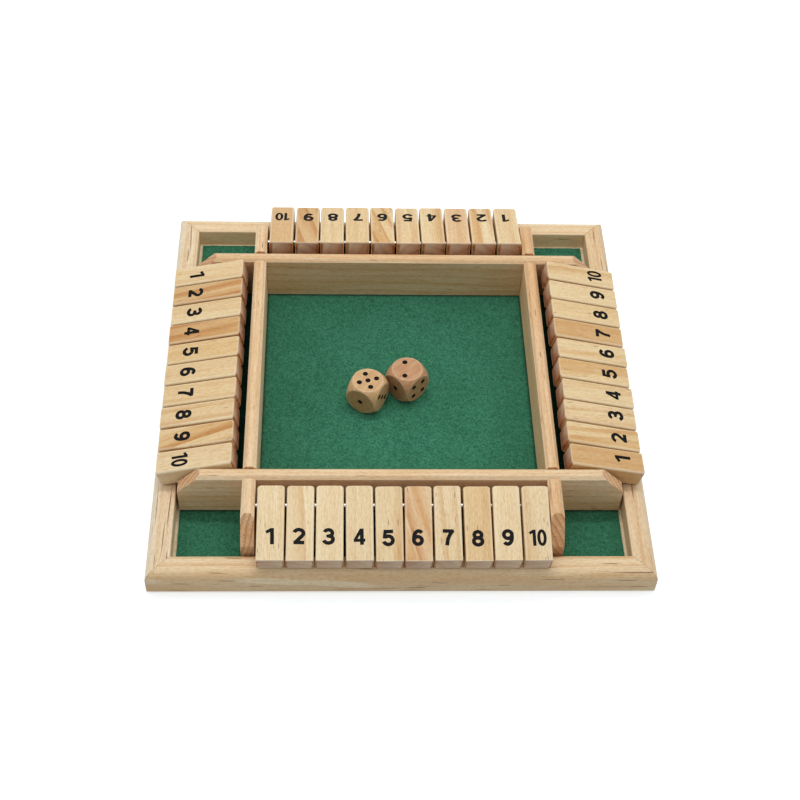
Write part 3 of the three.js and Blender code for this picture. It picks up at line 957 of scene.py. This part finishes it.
# %% [markdown]
# ## The numbers
#
# The tiles carry plain bold numbers of an upright, unslanted kind. Each is drawn the way a
# sign writer does it, as a few strokes of a flat pen: straight pieces and parts of
# ellipses. Heights and places are shares of the number's height, so one size sets them all.
# Geometry Nodes push the pen along the strokes. Where a stroke turns sharply, the pen has
# to widen, or the corner would come out thin, so every point of a stroke holds that factor
# as its radius.

# %% Strokes of the numbers
NUMBER_HEIGHT = 7.7 * MM
PEN = 0.225  # of the height
LOW, HIGH = PEN / 2, 1 - PEN / 2  # where the pen's middle runs on the base line and on top
ARC_STEP = 12  # degrees from one point of an ellipse to the next
WIDEST = 2  # times the pen's width, at the sharpest turn of a stroke


def oval(x, y, width, height, start=0, end=360):
    """Part of an ellipse, from one bearing to another in degrees, clockwise if end is less."""
    steps = max(3, round(abs(end - start) / ARC_STEP))
    angles = [math.radians(start + (end - start) * k / steps) for k in range(steps + 1)]
    return [(x + width / 2 * math.cos(a), y + height / 2 * math.sin(a)) for a in angles]


def number_strokes(number):
    """The strokes of a number, each a list of points, with the pen's share of its width."""
    six = [
        (1, oval(0.355, 0.325, 0.47, 0.46)),
        (1, oval(0.395, 0.45, 0.55, 0.91, 48, 180) + [(0.12, 0.33)]),
    ]
    return {
        1: [(1, [(0.36, 0), (0.36, 1)]), (0.85, [(0.01, 0.745), (0.36, 0.93)])],
        2: [
            (1, oval(0.365, 0.68, 0.53, 0.45, 168, -38) + [(0.17, 0.11)]),
            (1, [(0.075, LOW), (0.7, LOW)]),
        ],
        3: [
            (1, oval(0.36, 0.705, 0.46, 0.4, 163, -90)),
            (1, oval(0.36, 0.315, 0.53, 0.44, 90, -168)),
            (0.85, [(0.24, 0.52), (0.37, 0.52)]),
        ],
        4: [
            (1, [(0.49, 0), (0.49, 1)]),
            (0.85, [(0.02, 0.275), (0.69, 0.275)]),
            (0.8, [(0.09, 0.27), (0.46, 0.95)]),
        ],
        5: [
            (1, [(0.19, HIGH), (0.65, HIGH)]),
            (0.9, [(0.205, 1), (0.135, 0.46)]),
            (1, oval(0.355, 0.35, 0.53, 0.51, 132, -166)),
        ],
        6: six,
        7: [
            (1, [(0.04, HIGH), (0.68, HIGH)]),
            (1, [(0.64, 0.93), (0.45, 0.66), (0.33, 0.36), (0.28, 0)]),
        ],
        8: [(1, oval(0.36, 0.71, 0.42, 0.39)), (1, oval(0.36, 0.315, 0.5, 0.44))],
        9: [(pen, [(0.71 - x, 1 - y) for x, y in points]) for pen, points in six],
        10: [
            (0.85, [(0.28, 0), (0.28, 1)]),
            (0.75, [(0.01, 0.77), (0.28, 0.93)]),
            (0.8, oval(0.72, 0.5, 0.37, 0.85)),
        ],
    }[number]


def widening(points, i, closed):
    """How much wider the pen gets at a point, where the stroke turns."""
    if not closed and i in (0, len(points) - 1):
        return 1.0
    before = (points[i] - points[i - 1]).normalized()
    after = (points[(i + 1) % len(points)] - points[i]).normalized()
    return 1 / max(1 / WIDEST, math.cos(before.angle(after) / 2))


def stroke_curve(number):
    """A curve object that holds the strokes of a number, centred on its middle."""
    strokes = number_strokes(number)
    reach = [
        x + side * pen * PEN / 2 for pen, points in strokes for x, _ in points for side in (-1, 1)
    ]
    middle = Vector(((min(reach) + max(reach)) / 2, 0.5))
    curve = bpy.data.curves.new(f"strokes_{number}", "CURVE")
    curve.dimensions = "3D"
    for pen, raw in strokes:
        points = [(Vector(p) - middle) * NUMBER_HEIGHT for p in raw]
        closed = (points[0] - points[-1]).length < 1e-9
        if closed:
            points.pop()
        spline = curve.splines.new("POLY")
        spline.points.add(len(points) - 1)
        spline.use_cyclic_u = closed
        for i, point in enumerate(points):
            spline.points[i].co = (point.x, point.y, 0, 1)
            spline.points[i].radius = pen * widening(points, i, closed)
    return bpy.data.objects.new(f"strokes_{number}", curve)


strokes_of = {number: stroke_curve(number) for number in range(1, 11)}
for strokes in strokes_of.values():
    scene.collection.objects.link(strokes)
print("strokes per number:", {n: len(o.data.splines) for n, o in strokes_of.items()})

# %% [markdown]
# ## The tile
#
# A tile is cut from a moulded strip, so its long edges are rounded all along, while its
# ends are sawn. The inner end's corners are rounder than the outer one's, because they
# swing past the board. A geometry tree drills the bore and presses the number into the
# blank. The tree has its sizes as named inputs, so one tree makes all forty tiles, each
# with its number stamped a hair aside.


# %% Tile blank
INNER_CORNER, INNER_EDGE = 1.2 * MM, 0.6 * MM  # roundings of the inner end, in plan and in height
OUTER_CORNER, OUTER_EDGE = 0.5 * MM, 0.25 * MM
STATIONS = (0, 0.02, 0.08, 0.18, 0.32, 0.5, 0.72, 1)  # where rings stand along an end's rounding


def inset(from_end, radius):
    """How far a rounded corner has drawn in, at a distance from the end."""
    short = max(0.0, radius - from_end)
    return radius - math.sqrt(radius**2 - short**2)


def tile_blank():
    """A tile about its rod: its outer end points along -Y, its face looks up. Rings of the
    same section, drawn in a little towards each end, are bridged from one to the next."""
    side, face = tile_width / 2, TILE_THICKNESS / 2
    section = rounded([(x * side, z * face, TILE_EDGE) for x, z in SQUARE], 5)
    outer = TILE_HINGE - tile_length
    stations = [(outer, share * OUTER_CORNER, OUTER_CORNER, OUTER_EDGE, 1) for share in STATIONS]
    inner = [(TILE_HINGE, share * INNER_CORNER, INNER_CORNER, INNER_EDGE, -1) for share in STATIONS]
    rings = []
    for end, from_end, corner, edge, inwards in stations + inner[::-1]:
        narrow = 1 - inset(from_end, corner) / side
        thin = 1 - inset(from_end, edge) / face
        y = end + inwards * from_end
        rings.append([(p.x * narrow, y, p.y * thin) for p in section])
    return bridged(rings, "tile")


def mark_tile_edge_wear_and_highlight(mesh):
    """Marks how far each point lies round a tile's upper and lower edges: one midway, nought on a
    face. These places are made paler, partly as hands and sandpaper wear them, partly as a painted
    highlight."""
    low = [min(vertex.co[k] for vertex in mesh.vertices) for k in range(3)]
    high = [max(vertex.co[k] for vertex in mesh.vertices) for k in range(3)]
    reaches = (TILE_EDGE, OUTER_CORNER, TILE_EDGE)
    shares = []
    for place in (vertex.co for vertex in mesh.vertices):
        near = [min(place[k] - low[k], high[k] - place[k]) / reaches[k] for k in range(3)]
        side, end, face = (max(0.0, 1 - share) for share in near)
        shares.append(min(1.0, 2 * face * max(side, end)))
    store(mesh, "worn_edge", "FLOAT", shares)


# %% Tools for geometry trees
AS_DRAWN = {"transform_space": "ORIGINAL"}  # Object Info: the other object's own coordinates


def new_tree(name, inputs):
    """An empty geometry tree with named inputs and one geometry output."""
    tree = bpy.data.node_groups.new(name, "GeometryNodeTree")
    tree.interface.new_socket("Geometry", in_out="INPUT", socket_type="NodeSocketGeometry")
    for title, kind in inputs.items():
        tree.interface.new_socket(title, in_out="INPUT", socket_type=f"NodeSocket{kind}")
    tree.interface.new_socket("Geometry", in_out="OUTPUT", socket_type="NodeSocketGeometry")
    return tree, tree.nodes.new("NodeGroupInput").outputs


def run_tree(mesh, tree, values):
    """The mesh that a geometry tree makes of another mesh, with its inputs set by name."""
    bench = bpy.data.objects.new("bench", mesh)
    modifier = bench.modifiers.new("tree", "NODES")
    modifier.node_group = tree
    for item in tree.interface.items_tree:
        if item.in_out == "INPUT" and item.name in values:
            modifier[item.identifier] = values[item.name]
    return evaluated(bench)


# %% Tile tree
FLAG = {"data_type": "BOOLEAN"}  # named attributes that say yes or no
WELD = 1e-6  # metres: points nearer than this become one
TILE_INPUTS = {
    "Strokes": "Object",
    "Pen Width": "Float",
    "Press Depth": "Float",
    "Face Height": "Float",
    "Number Place": "Vector",
    "Number Turn": "Float",
    "Bore Diameter": "Float",
    "Tile Width": "Float",
    "Wood": "Material",
    "Ink": "Material",
}


def stamp_of(tree, given):
    """A closed stamp in the shape of a number: the pen's ribbon along the strokes is pushed
    up, and the ribbon itself, turned over, closes it below."""
    strokes = add(tree, "GeometryNodeObjectInfo", {"Object": given["Strokes"]}, **AS_DRAWN)
    level = {"Curve": strokes.outputs["Geometry"]}
    level = add(tree, "GeometryNodeSetCurveNormal", level, mode="Z_UP")
    half = add(tree, "ShaderNodeMath", {0: given["Pen Width"], 1: 0.5}, **TIMES)
    back = add(tree, "ShaderNodeMath", {0: half, 1: -1.0}, **TIMES)
    start = add(tree, "ShaderNodeCombineXYZ", {"X": back})
    end = add(tree, "ShaderNodeCombineXYZ", {"X": half})
    pen = add(tree, "GeometryNodeCurvePrimitiveLine", {"Start": start, "End": end})
    ribbon = {"Curve": level, "Profile Curve": pen, "Scale": add(tree, "GeometryNodeInputRadius")}
    ribbon = add(tree, "GeometryNodeCurveToMesh", ribbon)
    height = add(tree, "ShaderNodeMath", {0: given["Press Depth"], 1: 2.0}, **TIMES)
    up = add(tree, "ShaderNodeCombineXYZ", {"Z": height})
    pushed = {"Mesh": ribbon, "Offset": up, "Offset Scale": 1.0, "Individual": False}
    pushed = add(tree, "GeometryNodeExtrudeMesh", pushed)
    turned = add(tree, "GeometryNodeFlipFaces", {"Mesh": ribbon})
    joined = add(tree, "GeometryNodeJoinGeometry", {"Geometry": [pushed, turned]})
    return add(tree, "GeometryNodeMergeByDistance", {"Geometry": joined, "Distance": WELD})


def finish_cut(tree, given, stamp, drills=()):
    """The end of a cutting tree: the stamp and the drills are taken away, and the piece is
    wood all over, with ink where the stamp cut it."""
    marked = {"Geometry": stamp, "Name": "inked", "Value": True}
    marked = add(tree, "GeometryNodeStoreNamedAttribute", marked, domain="FACE", **FLAG)
    cut = {"Mesh 1": given["Geometry"], "Mesh 2": [marked, *drills]}
    cut |= {"Self Intersection": bool(drills)}
    cut = add(tree, "GeometryNodeMeshBoolean", cut, operation="DIFFERENCE", solver="EXACT")
    real = add(tree, "GeometryNodeRealizeInstances", {"Geometry": cut})
    wooden = add(tree, "GeometryNodeSetMaterial", {"Geometry": real, "Material": given["Wood"]})
    inked = add(tree, "GeometryNodeInputNamedAttribute", {"Name": "inked"}, **FLAG)
    done = {"Geometry": wooden, "Selection": inked, "Material": given["Ink"]}
    add(tree, "NodeGroupOutput", {0: add(tree, "GeometryNodeSetMaterial", done)})


def tile_tree():
    """Drills the bore and presses the number into a tile blank."""
    tree, given = new_tree("number_tile", TILE_INPUTS)
    depth = {0: given["Face Height"], 1: given["Press Depth"]}
    depth = add(tree, "ShaderNodeMath", depth, operation="SUBTRACT")
    lift = add(tree, "ShaderNodeCombineXYZ", {"Z": depth})
    place = add(tree, "ShaderNodeVectorMath", {0: given["Number Place"], 1: lift}, operation="ADD")
    turned = add(tree, "ShaderNodeCombineXYZ", {"Z": given["Number Turn"]})
    stamp = {"Geometry": stamp_of(tree, given), "Translation": place, "Rotation": turned}
    stamp = add(tree, "GeometryNodeTransform", stamp)
    radius = add(tree, "ShaderNodeMath", {0: given["Bore Diameter"], 1: 0.5}, **TIMES)
    length = add(tree, "ShaderNodeMath", {0: given["Tile Width"], 1: 1.2}, **TIMES)
    drill = {"Vertices": 32, "Radius": radius, "Depth": length}
    drill = add(tree, "GeometryNodeMeshCylinder", drill)
    across = {"Geometry": drill, "Rotation": (0, QUARTER_TURN, 0)}
    finish_cut(tree, given, stamp, [add(tree, "GeometryNodeTransform", across)])
    return tree


# %% [markdown]
# ## Forty tiles
#
# Each row is sorted by tone and figure as the picture shows it, from tile 1 at the sitting
# player's left. The bore is a little wider than the rod, the tiles were cut by hand and the
# numbers stamped by hand, so no two lie or look quite alike: a seeded draw moves each tile
# and its number by a hair, and never so far that two neighbours could touch.

# %% Tones and figures
FIGURES = {  # how banded, streaky and ringed, and the slant of the grain in degrees
    "plain": ((0.15, 0.03, 0.2), 0),
    "lined": ((0.35, 0.3, 0.5), 2),
    "streaked": ((0.3, 0.6, 0.4), 3),
    "banded": ((0.8, 0.2, 0.45), 4),
    "slanted": ((0.9, 0.25, 0.8), 14),
}
ROWS = {
    "front": [
        "ivory streaked", "ivory lined", "ivory plain", "cream plain", "pale banded",
        "rosy slanted", "cream streaked", "golden plain", "ivory plain", "cream streaked",
    ],
    "right": [
        "tan plain", "straw banded", "cream lined", "pale plain", "straw banded",
        "pale banded", "tan plain", "straw lined", "pale plain", "pale lined",
    ],
    "back": [
        "pale plain", "cream banded", "rosy plain", "pale lined", "cream lined",
        "straw slanted", "straw plain", "pale plain", "honey slanted", "honey plain",
    ],
    "left": [
        "pale plain", "honey banded", "pale plain", "tan banded", "golden plain",
        "pale plain", "straw plain", "cream lined", "straw slanted", "cream plain",
    ],
}

# %% How a tile lies and where its number is
YAW_PLAY, TILT_PLAY = 0.42, 0.25  # degrees
SIDE_PLAY, END_PLAY = 0.14 * MM, 0.35 * MM
ROW_SHIFT = {"front": 0.35, "right": 0.35, "back": -0.35, "left": -0.35}  # mm along the rod
PRESS_DEPTH = 0.22 * MM
# Millimetres from the tiles' inner ends to the numbers' middles, on tile 1 and on tile 10
NUMBER_IN = {
    "front": (24.5, 25.3),
    "right": (25.9, 25.7),
    "back": (25.8, 25.8),
    "left": (24.0, 24.8),
}
NUMBER_ASIDE = {"front": -0.35, "right": 0.0, "back": -0.3, "left": 0.0}  # millimetres
NUMBER_PLAY, NUMBER_TURN_PLAY = 0.2 * MM, 1.2  # length, degrees


def numbered_tile(side, number):
    """One tile with its number, about its rod. Its bore is a hair nearer to one end or the
    other than its neighbour's, so that the row's ends don't quite line up."""
    end = draw.uniform(-1, 1) * END_PLAY
    first, last = NUMBER_IN[side]
    from_inner_end = (first + (last - first) * (number - 1) / 9) * MM
    strip = blank.copy()
    strip.transform(Matrix.Translation((0, end, 0)))
    values = {
        "Strokes": strokes_of[number],
        "Pen Width": PEN * NUMBER_HEIGHT,
        "Press Depth": PRESS_DEPTH,
        "Face Height": TILE_THICKNESS / 2,
        "Number Place": (
            NUMBER_ASIDE[side] * MM + draw.uniform(-1, 1) * NUMBER_PLAY,
            TILE_HINGE + end - from_inner_end + draw.uniform(-1, 1) * NUMBER_PLAY,
            0.0,
        ),
        "Number Turn": math.radians(draw.uniform(-1, 1) * NUMBER_TURN_PLAY),
        "Bore Diameter": BORE,
        "Tile Width": tile_width,
        "Wood": tile_pine,
        "Ink": ink,
    }
    tile = shaded(run_tree(strip, number_tile, values))
    mark_tile_edge_wear_and_highlight(tile)
    return tile


def lie_of(side, middle):
    """Where a tile lies: its place along the row, and its small turns."""
    along = ROW_SHIFT[side] * MM + draw.uniform(-1, 1) * SIDE_PLAY
    yaw = Matrix.Rotation(math.radians(draw.uniform(-1, 1) * YAW_PLAY), 4, "Z")
    tilt = Matrix.Rotation(tile_tilt - math.radians(draw.uniform(0, 1) * TILT_PLAY), 4, "X")
    return Matrix.Translation((middle.x + along, -rod_out, rod_height)) @ yaw @ tilt


# %% Place the tiles
number_tile = tile_tree()
blank = tile_blank()
tile_triangles = 0
for side, turn in TURNS.items():
    for number in range(1, 11):
        node = f"{side}_tile_{number}"
        low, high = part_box(node)
        lie = lie_of(side, turn.inverted() @ ((low + high) / 2))
        tile = numbered_tile(side, number)
        tone, figure = ROWS[side][number - 1].split()
        traits, slant = FIGURES[figure]
        from_log(tile, "Y", tone, traits, turn @ lie, slant)
        finished(node, tile, None, node)
        tile_triangles += triangles(tile)
for strokes in strokes_of.values():
    bpy.data.objects.remove(strokes)
print("triangles in all the tiles:", tile_triangles)

# %% [markdown]
# ## The dice
#
# A wooden die is a cube tumbled or turned inside a ball a little wider than itself, which
# leaves six flat discs with crisp rims. The mesh follows that rule: on each face, rings of
# points run out to the disc's rim, and from the rim on they lie on the ball, until they
# meet the next face. The pips are the marks of a round-nosed drill. A geometry tree puts a
# small ball at each of the twenty-one places and takes them all away at once.

# %% Die blank
DISC_RINGS, BALL_RINGS = 9, 3  # rings of points on a disc, and from its rim to the next face
RIM_BEVEL = 0.14 * MM
disc_radius = math.sqrt(DIE_BALL**2 - DIE_SIZE**2) / 2


def die_point(out, side, up, i, j):
    """A point of the die's skin, from its step sideways and up on a face's grid."""
    ring = max(abs(i), abs(j))
    if ring == 0:
        return out * DIE_SIZE / 2
    border = out + side * math.tan(i / ring * math.pi / 4) + up * math.tan(j / ring * math.pi / 4)
    sideways = (border - out).normalized()
    if ring <= DISC_RINGS:
        return out * DIE_SIZE / 2 + sideways * disc_radius * ring / DISC_RINGS
    rim = (out * DIE_SIZE / 2 + sideways * disc_radius).normalized()
    onward = (ring - DISC_RINGS) / BALL_RINGS
    return rim.lerp(border.normalized(), onward).normalized() * DIE_BALL / 2


def die_blank():
    """A cube rounded by a ball, whose mesh lines follow the rims of the flat discs."""
    work = bmesh.new()
    axes = [Vector(a) for a in ((1, 0, 0), (0, 1, 0), (0, 0, 1))]
    span = range(-DISC_RINGS - BALL_RINGS, DISC_RINGS + BALL_RINGS + 1)
    for k, way in ((k, way) for k in range(3) for way in (-1, 1)):
        out, side, up = axes[k] * way, axes[(k + 1) % 3], axes[(k + 2) % 3]
        grid = {(i, j): work.verts.new(die_point(out, side, up, i, j)) for i in span for j in span}
        for i in span[:-1]:
            for j in span[:-1]:
                work.faces.new((grid[i, j], grid[i + 1, j], grid[i + 1, j + 1], grid[i, j + 1]))
    bmesh.ops.remove_doubles(work, verts=work.verts, dist=WELD)
    return bevelled(mesh_from(work, "die"), RIM_BEVEL, 25)


def mark_rim_wear_and_highlight(mesh):
    """Marks the crisp rims of the discs, made paler than the rest: partly wear, partly a painted
    highlight.
    """
    face = DIE_SIZE / 2 - RIM_BEVEL
    shares = []
    for place in (vertex.co for vertex in mesh.vertices):
        spread = [math.hypot(place[(k + 1) % 3], place[(k + 2) % 3]) for k in range(3)]
        on_rim = [
            abs(place[k]) > face and abs(spread[k] - disc_radius) < 2 * RIM_BEVEL for k in range(3)
        ]
        shares.append(float(any(on_rim)))
    store(mesh, "worn_edge", "FLOAT", shares)


# %% Pip places
PIP_SPACING, PIP_DIAMETER, PIP_DEPTH = 3.1 * MM, 2.6 * MM, 0.7 * MM
drill_radius = ((PIP_DIAMETER / 2) ** 2 + PIP_DEPTH**2) / (2 * PIP_DEPTH)
PIPS = {
    1: [(0, 0)],
    2: [(-1, 1), (1, -1)],
    3: [(-1, 1), (0, 0), (1, -1)],
    4: [(-1, -1), (-1, 1), (1, -1), (1, 1)],
    5: [(-1, -1), (-1, 1), (0, 0), (1, -1), (1, 1)],
    6: [(-1, -1), (-1, 0), (-1, 1), (1, -1), (1, 0), (1, 1)],
}
DICE = {
    "left": {"right": 3, "left": 4, "front": 1, "back": 6, "top": 5, "bottom": 2},
    "right": {"right": 4, "left": 3, "front": 1, "back": 6, "top": 2, "bottom": 5},
}
DICE_TONES = {"left": "#D1AB7B", "right": "#C3966D"}
PIP_DRIFT = {("right", "top"): (-0.83 * MM, -0.87 * MM)}  # this pair was drilled off the middle
FACES = {
    "right": ((1, 0, 0), (0, 1, 0), (0, 0, 1)),
    "left": ((-1, 0, 0), (0, 1, 0), (0, 0, 1)),
    "front": ((0, -1, 0), (1, 0, 0), (0, 0, 1)),
    "back": ((0, 1, 0), (1, 0, 0), (0, 0, 1)),
    "top": ((0, 0, 1), (1, 0, 0), (0, 1, 0)),
    "bottom": ((0, 0, -1), (1, 0, 0), (0, 1, 0)),
}


def pip_points(name):
    """A mesh of loose points, one at the middle of each pip's drill ball."""
    points = []
    for face, number in DICE[name].items():
        out, columns, rows = (Vector(v) for v in FACES[face])
        drift = PIP_DRIFT.get((name, face), (0, 0))
        for column, row in PIPS[number]:
            across = columns * (column * PIP_SPACING + drift[0])
            across += rows * (row * PIP_SPACING + drift[1])
            points.append(tuple(out * (DIE_SIZE / 2 - PIP_DEPTH + drill_radius) + across))
    mesh = bpy.data.meshes.new("pip_points")
    mesh.from_pydata(points, [], [])
    holder = bpy.data.objects.new("pip_points", mesh)
    scene.collection.objects.link(holder)
    return holder


# %% Die tree
DIE_INPUTS = {
    "Pip Points": "Object",
    "Drill Radius": "Float",
    "Wood": "Material",
    "Ink": "Material",
}


def die_tree():
    """Drills the pips into a die blank and paints them."""
    tree, given = new_tree("drilled_die", DIE_INPUTS)
    points = add(tree, "GeometryNodeObjectInfo", {"Object": given["Pip Points"]}, **AS_DRAWN)
    ball = {"Segments": 32, "Rings": 24, "Radius": given["Drill Radius"]}
    ball = add(tree, "GeometryNodeMeshUVSphere", ball)
    placed = {"Points": points.outputs["Geometry"], "Instance": ball}
    placed = add(tree, "GeometryNodeInstanceOnPoints", placed)
    drills = add(tree, "GeometryNodeRealizeInstances", {"Geometry": placed})
    finish_cut(tree, given, drills)
    return tree


# %% Two dice
drilled_die = die_tree()
for name in DICE:
    points = pip_points(name)
    values = {"Pip Points": points, "Drill Radius": drill_radius, "Wood": beech, "Ink": ink}
    die = shaded(run_tree(die_blank(), drilled_die, values))
    bpy.data.objects.remove(points)
    mark_rim_wear_and_highlight(die)
    low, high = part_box(f"{name}_die")
    turn = Matrix.Rotation(math.radians(DIE_TURNS[name]), 4, "Z")
    turn = Matrix.Translation((low + high) / 2) @ turn
    from_log(die, "Y", DICE_TONES[name], (0.0, 0.0, 0.0), turn)
    finished(f"{name}_die", die, None, f"{name}_die")
    print(name, "die triangles:", triangles(die))

# %% [markdown]
# ## The felt
#
# The lining is one square of felt, a little over two hundred millimetres wide, glued to
# the base under the boards. It was cut with a knife, so its edge strays by a fraction of a
# millimetre, and its face is not quite level. A plain grid of points does both: the points
# along the edge move in or out, and the others sink by a few hundredths.

# %% Felt
FELT_CELLS = 110
EDGE_STRAY, FACE_STRAY = 0.18 * MM, 0.05 * MM


def felt_mesh():
    """A thin square sheet with a slightly uneven edge and face."""
    half = felt_high.x
    work = bmesh.new()
    bmesh.ops.create_grid(work, x_segments=FELT_CELLS, y_segments=FELT_CELLS, size=half)
    stray = random.Random(11)
    for vertex in work.verts:
        for axis in (0, 1):
            if abs(abs(vertex.co[axis]) - half) < 1e-7:
                vertex.co[axis] -= math.copysign(stray.uniform(0, EDGE_STRAY), vertex.co[axis])
        vertex.co.z = felt_top - stray.uniform(0, FACE_STRAY)
    top = list(work.faces)
    pushed = bmesh.ops.extrude_face_region(work, geom=top, use_keep_orig=True)
    below = [v for v in pushed["geom"] if isinstance(v, bmesh.types.BMVert)]
    for vertex in below:
        vertex.co.z = felt_low.z
    mesh = mesh_from(work, "felt")
    mesh.shade_smooth()
    mesh.set_sharp_from_angle(angle=math.radians(50))
    return mesh


lining = finished("felt_lining", felt_mesh(), felt, "tray")
print("felt triangles:", triangles(lining.data))
